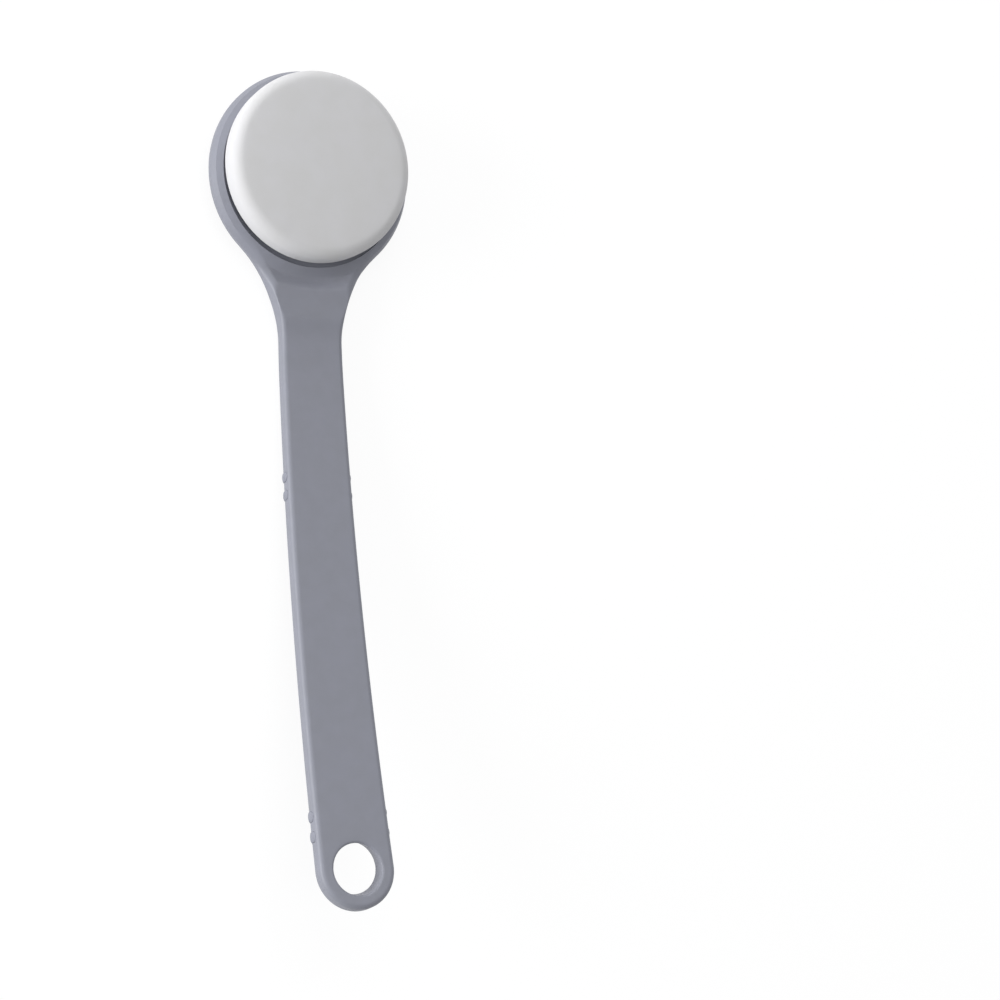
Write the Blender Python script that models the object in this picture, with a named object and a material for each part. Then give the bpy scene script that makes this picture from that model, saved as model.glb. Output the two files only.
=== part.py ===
"""Back lotion applicator.

A long, gently curved handle made of two moulded shells carries a round head at one end and a
hanging eye at the other. A foam pad in a white cover sits on a plastic carrier, and the carrier's
round plug is held in the head's socket by a rubber ring, so the pad pulls off to be washed.

The applicator lies on its back, as it rests on a table: +Z is up, +Y runs towards the head, and X
is across the handle. Lengths are in metres and angles in degrees.
"""

import math

import bmesh
import bpy
from mathutils import Matrix, Vector

# Pad, which the head is made to fit
PAD_RADIUS = 0.0433
PAD_HEIGHT = 0.0140
PAD_EDGE_RADIUS = 0.0057
PAD_FOOT_RADIUS = 0.0020
PAD_CROWN = 0.0006
COVER_THICKNESS = 0.0007
HEM_WIDTH = 0.0050
CARRIER_EDGE_MARGIN = 0.0025
CARRIER_THICKNESS = 0.0022
ADHESIVE_EDGE_MARGIN = 0.0030
ADHESIVE_THICKNESS = 0.0006

# Head and handle outline
HEAD_RIM_WIDTH = 0.0053
NECK_WIDTH = 0.0295
NECK_FROM_HEAD = 0.0311
EYE_END_WIDTH = 0.0335
HANDLE_LENGTH = 0.2834
THICKNESS = 0.0081
EDGE_RADIUS = 0.0022
WALL = 0.0020

# Side curve, from the head's flat disc to the hanging eye
HEAD_TILT = 6.9
HEAD_FLAT_MARGIN = 0.0010
HEAD_BEND = 0.0120
NECK_FLAT = 0.0230
NECK_BEND = 0.0110
NECK_TURN = 3.3
GRIP_TURN = 12.0
SWELL_HEIGHT = 0.0010
SWELL_FROM_HEAD = 0.0140
SWELL_REACH = 0.0170

# Hanging eye
EYE_SIDE_WALL = 0.0060
EYE_END_WALL = 0.0056
EYE_RIM_RADIUS = 0.0010
EYE_WEB = 0.0035

# Shoulder ring and head face
SHOULDER_INSET = 0.0010
SHOULDER_DROP = 0.0004
SHOULDER_RISE = 0.0012
SHOULDER_REVEAL = 0.0003

# Socket and plug
SOCKET_RADIUS = 0.0110
SOCKET_WALL = 0.0020
PLUG_FLOOR_CLEARANCE = 0.0011
RING_CORD_RADIUS = 0.0006
RING_SQUEEZE_GAP = 0.0001
RING_DEPTH = 0.0033

# Head screws and carrier pegs
FASTENER_CIRCLE_RADIUS = 0.0260
SCREW_ANGLES = (90.0, 210.0, 330.0)
SCREW_HEAD_RADIUS = 0.0026
SCREW_HEAD_HEIGHT = 0.0015
SCREW_SHANK_RADIUS = 0.00125
SCREW_LENGTH = 0.0050
SCREW_DRIVE_RADIUS = 0.0011
SCREW_DRIVE_SIDES = 6
SCREW_BEVEL_SHARE = 0.25
SCREW_SEAT_WEB = 0.0024
PEG_ANGLES = (0.0, 180.0)
PEG_RADIUS = 0.0020
PEG_LENGTH = 0.0014
BOSS_WALL = 0.0016

# Posts that line up the two shells along the handle
POST_COUNT = 5
FIRST_POST_FROM_BEND = 0.0090
LAST_POST_TO_RIB = 0.0058
POST_RADIUS = 0.0014
POST_TIP_CLEARANCE = 0.0008

# Grip ribs across the back
RIB_WIDTH = 0.0040
RIB_PITCH = 0.0084
RIB_CREST = 0.0008
RIB_DEPTH = 0.0008
RIB_END_DROP = 0.0009
UPPER_RIBS_FROM_HEAD = 0.0980
LOWER_RIB_TO_EYE = 0.0010

# Clearances
SEAT_GAP = 0.0003
OVERRUN = 0.0020

# Mesh steps
HEAD_STEPS = 22
FLARE_STEPS = 9
FLANK_STEPS = 14
END_STEPS = 8
EDGE_STEPS = 4
PAD_EDGE_STEPS = 6
ROUND_STEPS = 48
SMALL_ROUND_STEPS = 20

# Colours, as linear red, green and blue
SHELL_GREY = (0.235, 0.245, 0.285)
RIB_GREY = (0.200, 0.208, 0.242)
COVER_WHITE = (0.780, 0.780, 0.790)
FOAM_WHITE = (0.850, 0.840, 0.800)
CARRIER_WHITE = (0.720, 0.720, 0.710)
ADHESIVE_CLEAR = (0.600, 0.590, 0.520)
RING_BLACK = (0.025, 0.025, 0.027)
SCREW_STEEL = (0.560, 0.570, 0.580)

# Radii that follow from the pad
HEM_INNER_RADIUS = PAD_RADIUS - HEM_WIDTH
CARRIER_RADIUS = PAD_RADIUS - CARRIER_EDGE_MARGIN
ADHESIVE_RADIUS = CARRIER_RADIUS - ADHESIVE_EDGE_MARGIN
HEAD_RADIUS = PAD_RADIUS + HEAD_RIM_WIDTH
SHOULDER_TOP_RADIUS = PAD_RADIUS + SHOULDER_REVEAL

# Stations, which are lengths along the handle's curve from the head's centre
HEAD_FLAT = HEAD_RADIUS + HEAD_FLAT_MARGIN
NECK_STATION = HEAD_RADIUS + NECK_FROM_HEAD
SWELL_CENTRE = HEAD_RADIUS + SWELL_FROM_HEAD
HEAD_CENTRE_TO_END = HEAD_RADIUS + HANDLE_LENGTH
EYE_RADIUS = EYE_END_WIDTH / 2 - EYE_SIDE_WALL
EYE_CENTRE = HEAD_CENTRE_TO_END - EYE_END_WALL - EYE_RADIUS
EYE_NEAR_EDGE = EYE_CENTRE - EYE_RADIUS - EYE_RIM_RADIUS
RIB_PAIR_REACH = (RIB_PITCH + RIB_WIDTH) / 2
UPPER_RIBS_STATION = HEAD_RADIUS + UPPER_RIBS_FROM_HEAD
LOWER_RIBS_STATION = EYE_NEAR_EDGE - LOWER_RIB_TO_EYE - RIB_PAIR_REACH
FIRST_POST_STATION = HEAD_FLAT + HEAD_BEND + NECK_FLAT + NECK_BEND + FIRST_POST_FROM_BEND
LAST_POST_STATION = LOWER_RIBS_STATION - RIB_PAIR_REACH - LAST_POST_TO_RIB

# Heights above and below the surface where the two shells meet
HALF_THICKNESS = THICKNESS / 2
CAVITY_HALF = HALF_THICKNESS - WALL
PLATEAU = HALF_THICKNESS + SHOULDER_RISE
CARRIER_BOTTOM = PLATEAU + SEAT_GAP
CARRIER_TOP = CARRIER_BOTTOM + CARRIER_THICKNESS
ADHESIVE_BOTTOM = CARRIER_TOP + SEAT_GAP
FOAM_BOTTOM = ADHESIVE_BOTTOM + ADHESIVE_THICKNESS + SEAT_GAP
PAD_TOP = CARRIER_BOTTOM + PAD_HEIGHT
SCREW_SEAT = PLATEAU - SCREW_HEAD_HEIGHT - SEAT_GAP - SEAT_GAP / 2
FRONT_BOSS_END = SCREW_SEAT - SCREW_SEAT_WEB
PLUG_BOTTOM = PLUG_FLOOR_CLEARANCE - CAVITY_HALF


def clear_scene():
    """Remove whatever the opened file holds."""
    for item in list(bpy.data.objects):
        bpy.data.objects.remove(item, do_unlink=True)


def spine_point(station):
    """Give y, z and heading of the middle surface, measured from the head's centre.

    The station is the length along the curve from the head's centre towards the eye.
    """
    heading = -math.radians(HEAD_TILT)
    y = -math.cos(heading) * min(station, HEAD_FLAT)
    z = math.sin(heading) * min(station, HEAD_FLAT)
    left = station - HEAD_FLAT
    grip_length = HEAD_CENTRE_TO_END - HEAD_FLAT - HEAD_BEND - NECK_FLAT - NECK_BEND
    stretches = (
        (HEAD_BEND, HEAD_TILT),
        (NECK_FLAT, 0.0),
        (NECK_BEND, NECK_TURN),
        (grip_length, GRIP_TURN),
    )
    for length, turn_degrees in stretches:
        if left <= 0.0:
            break
        share = min(left / length, 1.0)
        turn = math.radians(turn_degrees) * share
        run = length * share
        if turn == 0.0:
            y -= run * math.cos(heading)
            z += run * math.sin(heading)
        else:
            bend_radius = run / turn
            y -= bend_radius * (math.sin(heading + turn) - math.sin(heading))
            z += bend_radius * (math.cos(heading) - math.cos(heading + turn))
        heading += turn
        left -= length
    return y, z, heading


def flank_line():
    """Give the flank's lean from the handle's axis and the eye end's radius and centre."""
    end_radius = EYE_END_WIDTH / 2
    end_centre = HEAD_CENTRE_TO_END - end_radius
    across = NECK_WIDTH / 2
    along = end_centre - NECK_STATION
    lean = math.atan2(along, across) - math.acos(end_radius / math.hypot(across, along))
    return lean, end_radius, end_centre


def half_width(station):
    """Half the handle's width at a station on its flank."""
    lean = flank_line()[0]
    return NECK_WIDTH / 2 + (station - NECK_STATION) * math.tan(lean)


def flare_circle():
    """Centre and radius of the hollow curve that blends the head into the flank."""
    lean = flank_line()[0]
    across = NECK_WIDTH / 2
    side = math.cos(lean)
    down = -math.sin(lean)
    gap_squared = across * across + NECK_STATION * NECK_STATION - HEAD_RADIUS * HEAD_RADIUS
    radius = gap_squared / (2 * (HEAD_RADIUS - across * side - NECK_STATION * down))
    return across + radius * side, NECK_STATION + radius * down, radius


def half_outline(inset, end_centre):
    """Right half of the outline seen square on, as (x, station), from the head's far end.

    The inset moves the whole line inwards, and end_centre places the half circle at its end.
    """
    lean, end_radius, eye_end_centre = flank_line()
    flare_x, flare_station, flare_radius = flare_circle()
    end_radius -= (eye_end_centre - end_centre) * math.sin(lean)
    meet = math.atan2(flare_x, -flare_station)
    points = []
    for step in range(HEAD_STEPS + 1):
        angle = meet * step / HEAD_STEPS
        reach = HEAD_RADIUS - inset
        points.append((reach * math.sin(angle), -reach * math.cos(angle)))
    start = meet - math.pi
    finish = -math.pi / 2 - lean
    for step in range(1, FLARE_STEPS + 1):
        angle = start + (finish - start) * step / FLARE_STEPS
        reach = flare_radius + inset
        points.append((flare_x + reach * math.sin(angle), flare_station - reach * math.cos(angle)))
    end_points = []
    for step in range(END_STEPS + 1):
        angle = -lean + (math.pi / 2 + lean) * step / END_STEPS
        reach = end_radius - inset
        end_points.append((reach * math.cos(angle), end_centre + reach * math.sin(angle)))
    last_x, last_station = points[-1]
    first_x, first_station = end_points[0]
    for step in range(1, FLANK_STEPS):
        share = step / FLANK_STEPS
        x = last_x + (first_x - last_x) * share
        points.append((x, last_station + (first_station - last_station) * share))
    points.extend(end_points)
    points[0] = (0.0, points[0][1])
    points[-1] = (0.0, points[-1][1])
    return points


def front_height(station):
    """Height of the handle's face, which swells a little at the neck."""
    offset = (station - SWELL_CENTRE) / SWELL_REACH
    if abs(offset) >= 1.0:
        return HALF_THICKNESS
    return HALF_THICKNESS + SWELL_HEIGHT * (1 + math.cos(math.pi * offset)) / 2


def edge_rings():
    """Rounded edge as (inset, drop below the face), from the face to the flank."""
    rings = []
    for step in range(EDGE_STEPS + 1):
        angle = math.pi / 2 * step / EDGE_STEPS
        rings.append((EDGE_RADIUS * (1 - math.sin(angle)), EDGE_RADIUS * (1 - math.cos(angle))))
    return rings


def outer_rings(front):
    """Rings of one shell's outside, each a list of (x, station, height) for the right half."""
    end_centre = flank_line()[2]
    rings = []
    for inset, drop in edge_rings():
        if front:
            ring = [(x, s, front_height(s) - drop) for x, s in half_outline(inset, end_centre)]
        else:
            ring = [(x, s, drop - HALF_THICKNESS) for x, s in half_outline(inset, end_centre)]
        rings.append(ring)
    seam = SEAT_GAP / 2 if front else -SEAT_GAP / 2
    rings.append([(x, s, seam) for x, s in half_outline(0.0, end_centre)])
    return rings


def raw_frame(station):
    """Frame on the middle surface: X across, Y towards the head, Z out of the face."""
    y, z, heading = spine_point(station)
    frame = Matrix.Translation((0.0, y, z))
    return frame @ Matrix.Rotation(-heading, 4, "X")


def resting_shift():
    """Shift that puts the neck's flat back on z = 0 and the middle of the length on y = 0."""
    ys = []
    for ring in outer_rings(front=False):
        for x, station, height in ring:
            ys.append((raw_frame(station) @ Vector((x, 0.0, height))).y)
    neck_middle = HEAD_FLAT + HEAD_BEND + NECK_FLAT / 2
    neck_z = spine_point(neck_middle)[1]
    return Matrix.Translation((0.0, -(max(ys) + min(ys)) / 2, HALF_THICKNESS - neck_z))


RESTING_SHIFT = resting_shift()


def frame_at(station):
    """Frame on the middle surface where the applicator lies at rest."""
    return RESTING_SHIFT @ raw_frame(station)


def make_material(name, colour, roughness, metallic=0.0):
    """One Principled material."""
    material = bpy.data.materials.new(name)
    material.use_nodes = True
    shader = material.node_tree.nodes["Principled BSDF"]
    shader.inputs["Base Color"].default_value = (*colour, 1.0)
    shader.inputs["Roughness"].default_value = roughness
    shader.inputs["Metallic"].default_value = metallic
    material.diffuse_color = (*colour, 1.0)
    return material


def link_mesh(name, bm):
    """Turn a bmesh into a linked object with its faces pointing out."""
    bmesh.ops.recalc_face_normals(bm, faces=bm.faces)
    mesh = bpy.data.meshes.new(name)
    bm.to_mesh(mesh)
    bm.free()
    item = bpy.data.objects.new(name, mesh)
    bpy.context.scene.collection.objects.link(item)
    return item


def ladder(bm, ring, half_count):
    """Close a ring with strips that run straight across the handle."""
    count = len(ring)
    for index in range(half_count - 1):
        corners = [ring[index], ring[index + 1], ring[-index - 1], ring[(count - index) % count]]
        unique = []
        for corner in corners:
            if corner not in unique:
                unique.append(corner)
        bm.faces.new(unique)


def loft_slab(name, half_rings):
    """Join rings of right halves, mirrored across the handle, into one closed slab."""
    bm = bmesh.new()
    loops = []
    half_count = len(half_rings[0])
    for half in half_rings:
        mirrored = [(-x, s, h) for x, s, h in half[-2:0:-1]]
        loop = []
        for x, station, height in half + mirrored:
            loop.append(bm.verts.new(frame_at(station) @ Vector((x, 0.0, height))))
        loops.append(loop)
    for upper, lower in zip(loops, loops[1:]):
        for index in range(len(upper)):
            following = (index + 1) % len(upper)
            bm.faces.new((upper[index], lower[index], lower[following], upper[following]))
    ladder(bm, loops[0], half_count)
    ladder(bm, loops[-1], half_count)
    return link_mesh(name, bm)


def turned(name, profile, steps=ROUND_STEPS, closed=False, frame=None):
    """Turn a profile of (radius, height) about its Z axis.

    An open profile starts and ends on the axis; a closed one makes a ring.
    """
    bm = bmesh.new()
    loops = []
    for radius, height in profile:
        if radius == 0.0:
            loops.append([bm.verts.new((0.0, 0.0, height))])
            continue
        loop = []
        for step in range(steps):
            angle = 2 * math.pi * step / steps
            loop.append(bm.verts.new((radius * math.cos(angle), radius * math.sin(angle), height)))
        loops.append(loop)
    pairs = list(zip(loops, loops[1:]))
    if closed:
        pairs.append((loops[-1], loops[0]))
    for first, second in pairs:
        for step in range(steps):
            following = (step + 1) % steps
            corners = [first[step % len(first)], first[following % len(first)]]
            corners += [second[following % len(second)], second[step % len(second)]]
            unique = list(dict.fromkeys(corners))
            if len(unique) > 2:
                bm.faces.new(unique)
    item = link_mesh(name, bm)
    if frame is not None:
        item.data.transform(frame)
    return item


def rod(radius, low, high, frame, steps=SMALL_ROUND_STEPS):
    """A plain cylinder between two heights of a frame."""
    profile = [(0.0, low), (radius, low), (radius, high), (0.0, high)]
    return turned("rod", profile, steps=steps, frame=frame)


def combine(target, tool, operation):
    """Apply one Boolean to the target and remove the tool.

    Strips that lie in one plane defeat the exact solver, and every mesh here is closed.
    """
    modifier = target.modifiers.new(operation.lower(), "BOOLEAN")
    modifier.object = tool
    modifier.operation = operation
    modifier.solver = "MANIFOLD"
    with bpy.context.temp_override(object=target, active_object=target):
        bpy.ops.object.modifier_apply(modifier=modifier.name)
    bpy.data.objects.remove(tool, do_unlink=True)


def add(target, tool):
    """Fuse a feature to its piece."""
    combine(target, tool, "UNION")


def cut(target, tool):
    """Cut a feature out of its piece."""
    combine(target, tool, "DIFFERENCE")


def finish(item, material, sharp_angle=35.0):
    """Give a piece its material and smooth its round stretches."""
    item.data.materials.clear()
    item.data.materials.append(material)
    item.data.shade_smooth()
    item.data.set_sharp_from_angle(angle=math.radians(sharp_angle))
    return item


def head_spot(angle_degrees):
    """Frame of a fastener on the head's bolt circle."""
    angle = math.radians(angle_degrees)
    x = FASTENER_CIRCLE_RADIUS * math.cos(angle)
    y = FASTENER_CIRCLE_RADIUS * math.sin(angle)
    return frame_at(0.0) @ Matrix.Translation((x, y, 0.0))


def post_frames():
    """Frames of the alignment posts, evenly spaced along the handle."""
    frames = []
    for index in range(POST_COUNT):
        share = index / (POST_COUNT - 1)
        frames.append(frame_at(FIRST_POST_STATION + (LAST_POST_STATION - FIRST_POST_STATION) * share))
    return frames


def cavity(low, high):
    """The hollow inside the handle, which stops short of the eye, between two heights."""
    lean, end_radius, end_centre = flank_line()
    stop = EYE_CENTRE - EYE_RADIUS - EYE_WEB
    reach_at_centre = end_radius - end_centre * math.sin(lean)
    cavity_centre = (stop + WALL - reach_at_centre) / (1 + math.sin(lean))
    line = half_outline(WALL, cavity_centre)
    rings = [[(x, s, high) for x, s in line], [(x, s, low) for x, s in line]]
    return loft_slab("cavity", rings)


def eye_cutter():
    """The hanging hole with its rounded rims."""
    profile = [(0.0, -HALF_THICKNESS - OVERRUN)]
    profile.append((EYE_RADIUS + EYE_RIM_RADIUS, -HALF_THICKNESS - OVERRUN))
    for side in (-1, 1):
        for step in range(EDGE_STEPS + 1):
            share = step / EDGE_STEPS
            angle = math.pi / 2 * (1 - share if side < 0 else share)
            radius = EYE_RADIUS + EYE_RIM_RADIUS * (1 - math.cos(angle))
            depth = HALF_THICKNESS - EYE_RIM_RADIUS * (1 - math.sin(angle))
            profile.append((radius, side * depth))
    profile.append((EYE_RADIUS + EYE_RIM_RADIUS, HALF_THICKNESS + OVERRUN))
    profile.append((0.0, HALF_THICKNESS + OVERRUN))
    return turned("eye_cutter", profile, steps=2 * SMALL_ROUND_STEPS, frame=frame_at(EYE_CENTRE))


def build_front_shell(material):
    """Front half: face, shoulder ring, socket and the bosses behind the face."""
    shell = loft_slab("front_shell", outer_rings(front=True))
    head = frame_at(0.0)
    shoulder_base_radius = HEAD_RADIUS - SHOULDER_INSET
    shoulder = [
        (0.0, CAVITY_HALF),
        (shoulder_base_radius, CAVITY_HALF),
        (shoulder_base_radius, HALF_THICKNESS - SHOULDER_DROP),
        (SHOULDER_TOP_RADIUS, PLATEAU),
        (0.0, PLATEAU),
    ]
    add(shell, turned("shoulder", shoulder, steps=2 * ROUND_STEPS, frame=head))
    cut(shell, cavity(-OVERRUN, CAVITY_HALF))
    cut(shell, rod(SHOULDER_TOP_RADIUS - WALL, -OVERRUN, PLATEAU - WALL, head, steps=ROUND_STEPS))

    inside = PLATEAU - WALL / 2
    add(shell, rod(SOCKET_RADIUS + SOCKET_WALL, SEAT_GAP - CAVITY_HALF, inside, head, steps=ROUND_STEPS))
    cut(shell, rod(SOCKET_RADIUS, -HALF_THICKNESS, PLATEAU + OVERRUN, head, steps=ROUND_STEPS))
    screw_hole_radius = SCREW_SHANK_RADIUS + SEAT_GAP
    screw_well_radius = SCREW_HEAD_RADIUS + SEAT_GAP
    for angle in SCREW_ANGLES:
        spot = head_spot(angle)
        add(shell, rod(screw_well_radius + BOSS_WALL, FRONT_BOSS_END, inside, spot))
        cut(shell, rod(screw_well_radius, SCREW_SEAT, PLATEAU + OVERRUN, spot))
        cut(shell, rod(screw_hole_radius, FRONT_BOSS_END - OVERRUN, SCREW_SEAT + OVERRUN, spot))
    peg_hole_radius = PEG_RADIUS + SEAT_GAP
    peg_hole_bottom = CARRIER_BOTTOM - PEG_LENGTH - SEAT_GAP
    for angle in PEG_ANGLES:
        spot = head_spot(angle)
        add(shell, rod(peg_hole_radius + BOSS_WALL, peg_hole_bottom - BOSS_WALL, inside, spot))
        cut(shell, rod(peg_hole_radius, peg_hole_bottom, PLATEAU + OVERRUN, spot))
    for spot in post_frames():
        add(shell, rod(POST_RADIUS, POST_TIP_CLEARANCE - CAVITY_HALF, CAVITY_HALF + WALL / 2, spot))
    cut(shell, eye_cutter())
    return finish(shell, material)


def build_back_shell(material):
    """Back half: flat back, bosses for the screws and posts, and the ribs' grooves."""
    shell = loft_slab("back_shell", outer_rings(front=False))
    cut(shell, cavity(-CAVITY_HALF, OVERRUN))
    floor = -CAVITY_HALF - WALL / 2
    pilot_radius = SCREW_SHANK_RADIUS + SEAT_GAP
    screw_tip = SCREW_SEAT + SEAT_GAP - SCREW_LENGTH
    for angle in SCREW_ANGLES:
        spot = head_spot(angle)
        add(shell, rod(pilot_radius + BOSS_WALL, floor, FRONT_BOSS_END - SEAT_GAP, spot))
        cut(shell, rod(pilot_radius, screw_tip - SEAT_GAP, HALF_THICKNESS, spot))
    post_hole_radius = POST_RADIUS + SEAT_GAP
    for spot in post_frames():
        add(shell, rod(post_hole_radius + BOSS_WALL, floor, CAVITY_HALF - SEAT_GAP, spot))
        cut(shell, rod(post_hole_radius, -CAVITY_HALF, HALF_THICKNESS, spot))
    cut(shell, eye_cutter())
    for station in rib_stations():
        cut(shell, rib_groove(station))
    return finish(shell, material)


def rib_stations():
    """Middle of each rib: a pair at each end of the grip."""
    stations = []
    for middle in (UPPER_RIBS_STATION, LOWER_RIBS_STATION):
        stations.append(middle - RIB_PITCH / 2)
        stations.append(middle + RIB_PITCH / 2)
    return stations


def back_path(station, offset, end_height):
    """Line round the handle's back at a station, pushed out by an offset, as (x, height)."""
    flank = half_width(station)
    corner = EDGE_RADIUS + offset
    path = [(flank + offset, end_height)]
    for step in range(EDGE_STEPS + 1):
        angle = math.pi / 2 * step / EDGE_STEPS
        x = flank - EDGE_RADIUS + corner * math.cos(angle)
        path.append((x, EDGE_RADIUS - HALF_THICKNESS - corner * math.sin(angle)))
    mirrored = [(-x, height) for x, height in reversed(path)]
    return path + mirrored


def wrap_section(name, station, section, end_height):
    """Sweep a section of (along, offset) points round the handle's back."""
    bm = bmesh.new()
    lines = []
    for along, offset in section:
        place = station + along
        frame = frame_at(place)
        path = back_path(place, offset, end_height)
        lines.append([bm.verts.new(frame @ Vector((x, 0.0, height))) for x, height in path])
    count = len(lines)
    for index in range(count):
        line = lines[index]
        following = lines[(index + 1) % count]
        for step in range(len(line) - 1):
            bm.faces.new((line[step], line[step + 1], following[step + 1], following[step]))
    bm.faces.new([line[0] for line in lines])
    bm.faces.new([line[-1] for line in lines])
    return link_mesh(name, bm)


def rib_groove(station):
    """Groove in the back shell that a rib is set in."""
    half = RIB_WIDTH / 2 + SEAT_GAP
    bottom = -RIB_DEPTH - SEAT_GAP
    section = [(-half, bottom), (half, bottom), (half, OVERRUN), (-half, OVERRUN)]
    return wrap_section("rib_groove", station, section, SEAT_GAP - RIB_END_DROP)


def build_rib(name, station, material):
    """One soft rib with a rounded crest, ending square on both flanks."""
    half = RIB_WIDTH / 2
    section = [(-half, -RIB_DEPTH), (half, -RIB_DEPTH)]
    steps = 2 * EDGE_STEPS
    for step in range(steps + 1):
        angle = math.pi * step / steps
        section.append((half * math.cos(angle), RIB_CREST * math.sin(angle)))
    return finish(wrap_section(name, station, section, -RIB_END_DROP), material)


def build_screw(name, angle, material):
    """Pan-head screw that pulls the back shell's boss against the front shell."""
    seat = SCREW_SEAT + SEAT_GAP
    top = seat + SCREW_HEAD_HEIGHT - SEAT_GAP
    bevel = SCREW_HEAD_RADIUS * SCREW_BEVEL_SHARE
    profile = [
        (0.0, seat - SCREW_LENGTH),
        (SCREW_SHANK_RADIUS / 2, seat - SCREW_LENGTH),
        (SCREW_SHANK_RADIUS, seat - SCREW_LENGTH + SCREW_SHANK_RADIUS),
        (SCREW_SHANK_RADIUS, seat),
        (SCREW_HEAD_RADIUS, seat),
        (SCREW_HEAD_RADIUS, top - bevel),
        (SCREW_HEAD_RADIUS - bevel, top),
        (0.0, top),
    ]
    screw = turned(name, profile, steps=SMALL_ROUND_STEPS, frame=head_spot(angle))
    drive = rod(SCREW_DRIVE_RADIUS, (seat + top) / 2, top + OVERRUN, head_spot(angle), SCREW_DRIVE_SIDES)
    cut(screw, drive)
    return finish(screw, material)


def plug_ring_height():
    """Height of the rubber ring on the plug."""
    return CARRIER_BOTTOM - RING_DEPTH


def build_carrier(material):
    """Carrier disc with its stepped rim, plug, ring groove and pegs."""
    plug_radius = SOCKET_RADIUS - SEAT_GAP
    ring_inner = SOCKET_RADIUS - RING_SQUEEZE_GAP - 2 * RING_CORD_RADIUS
    groove_radius = ring_inner - SEAT_GAP
    groove_half = RING_CORD_RADIUS + SEAT_GAP
    ring_height = plug_ring_height()
    step_radius = HEM_INNER_RADIUS - SEAT_GAP
    rim_bottom = CARRIER_BOTTOM + COVER_THICKNESS + SEAT_GAP
    lead_in = 2 * SEAT_GAP
    profile = [
        (0.0, PLUG_BOTTOM),
        (plug_radius - lead_in, PLUG_BOTTOM),
        (plug_radius, PLUG_BOTTOM + lead_in),
        (plug_radius, ring_height - groove_half),
        (groove_radius, ring_height - groove_half),
        (groove_radius, ring_height + groove_half),
        (plug_radius, ring_height + groove_half),
        (plug_radius, CARRIER_BOTTOM),
        (step_radius, CARRIER_BOTTOM),
        (step_radius, rim_bottom),
        (CARRIER_RADIUS, rim_bottom),
        (CARRIER_RADIUS, CARRIER_TOP),
        (0.0, CARRIER_TOP),
    ]
    carrier = turned("pad_carrier", profile)
    for angle in PEG_ANGLES:
        x = FASTENER_CIRCLE_RADIUS * math.cos(math.radians(angle))
        y = FASTENER_CIRCLE_RADIUS * math.sin(math.radians(angle))
        spot = Matrix.Translation((x, y, 0.0))
        peg_bottom = CARRIER_BOTTOM - PEG_LENGTH
        add(carrier, rod(PEG_RADIUS, peg_bottom, CARRIER_BOTTOM + CARRIER_THICKNESS / 2, spot))
    return finish(carrier, material)


def build_plug_ring(material):
    """Rubber ring that grips the socket."""
    centre_radius = SOCKET_RADIUS - RING_SQUEEZE_GAP - RING_CORD_RADIUS
    steps = 2 * EDGE_STEPS
    profile = []
    for step in range(steps):
        angle = 2 * math.pi * step / steps
        radius = centre_radius + RING_CORD_RADIUS * math.cos(angle)
        profile.append((radius, plug_ring_height() + RING_CORD_RADIUS * math.sin(angle)))
    return finish(turned("plug_ring", profile, closed=True), material, sharp_angle=60.0)


def build_adhesive(material):
    """Double-sided disc between the carrier and the foam."""
    top = ADHESIVE_BOTTOM + ADHESIVE_THICKNESS
    profile = [
        (0.0, ADHESIVE_BOTTOM),
        (ADHESIVE_RADIUS, ADHESIVE_BOTTOM),
        (ADHESIVE_RADIUS, top),
        (0.0, top),
    ]
    return finish(turned("adhesive_disc", profile), material)


def crown_profile(inset, steps):
    """Pad's side and crowned face as (radius, height), from the side up to the middle.

    The inset moves the line inwards, and the steps are those of the rounded edge.
    """
    side_radius = PAD_RADIUS - inset
    edge_radius = PAD_EDGE_RADIUS - inset
    shoulder = PAD_TOP - PAD_CROWN - PAD_EDGE_RADIUS
    points = []
    for step in range(steps + 1):
        angle = math.pi / 2 * step / steps
        radius = side_radius - edge_radius * (1 - math.cos(angle))
        points.append((radius, shoulder + edge_radius * math.sin(angle)))
    flat_radius = PAD_RADIUS - PAD_EDGE_RADIUS
    crown_steps = max(steps // 2, 2)
    for step in range(1, crown_steps + 1):
        share = step / crown_steps
        radius = flat_radius * (1 - share)
        rise = PAD_CROWN * math.sin(math.pi / 2 * share)
        points.append((radius, shoulder + edge_radius + rise))
    return points


def build_foam(material):
    """Foam core under the cover."""
    inset = COVER_THICKNESS + SEAT_GAP
    profile = [(0.0, FOAM_BOTTOM), (PAD_RADIUS - inset, FOAM_BOTTOM)]
    profile += crown_profile(inset, PAD_EDGE_STEPS // 2)
    return finish(turned("foam_core", profile), material)


def foot_profile(inset, steps):
    """Pad's rounded foot, from the hem's side up to the pad's side."""
    reach = PAD_FOOT_RADIUS - inset
    points = []
    for step in range(steps + 1):
        angle = math.pi / 2 * step / steps
        radius = PAD_RADIUS - PAD_FOOT_RADIUS + reach * math.sin(angle)
        points.append((radius, CARRIER_BOTTOM + PAD_FOOT_RADIUS - reach * math.cos(angle)))
    return points


def build_cover(material):
    """White cover, wrapped over the foam and hemmed under the carrier's rim."""
    outside = [(HEM_INNER_RADIUS, CARRIER_BOTTOM)]
    outside += foot_profile(0.0, EDGE_STEPS)
    outside += crown_profile(0.0, PAD_EDGE_STEPS)
    inside = [(HEM_INNER_RADIUS, CARRIER_BOTTOM + COVER_THICKNESS)]
    inside += foot_profile(COVER_THICKNESS, EDGE_STEPS // 2)
    inside += crown_profile(COVER_THICKNESS, PAD_EDGE_STEPS // 2)
    profile = inside[::-1] + outside
    return finish(turned("pad_cover", profile), material)


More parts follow.
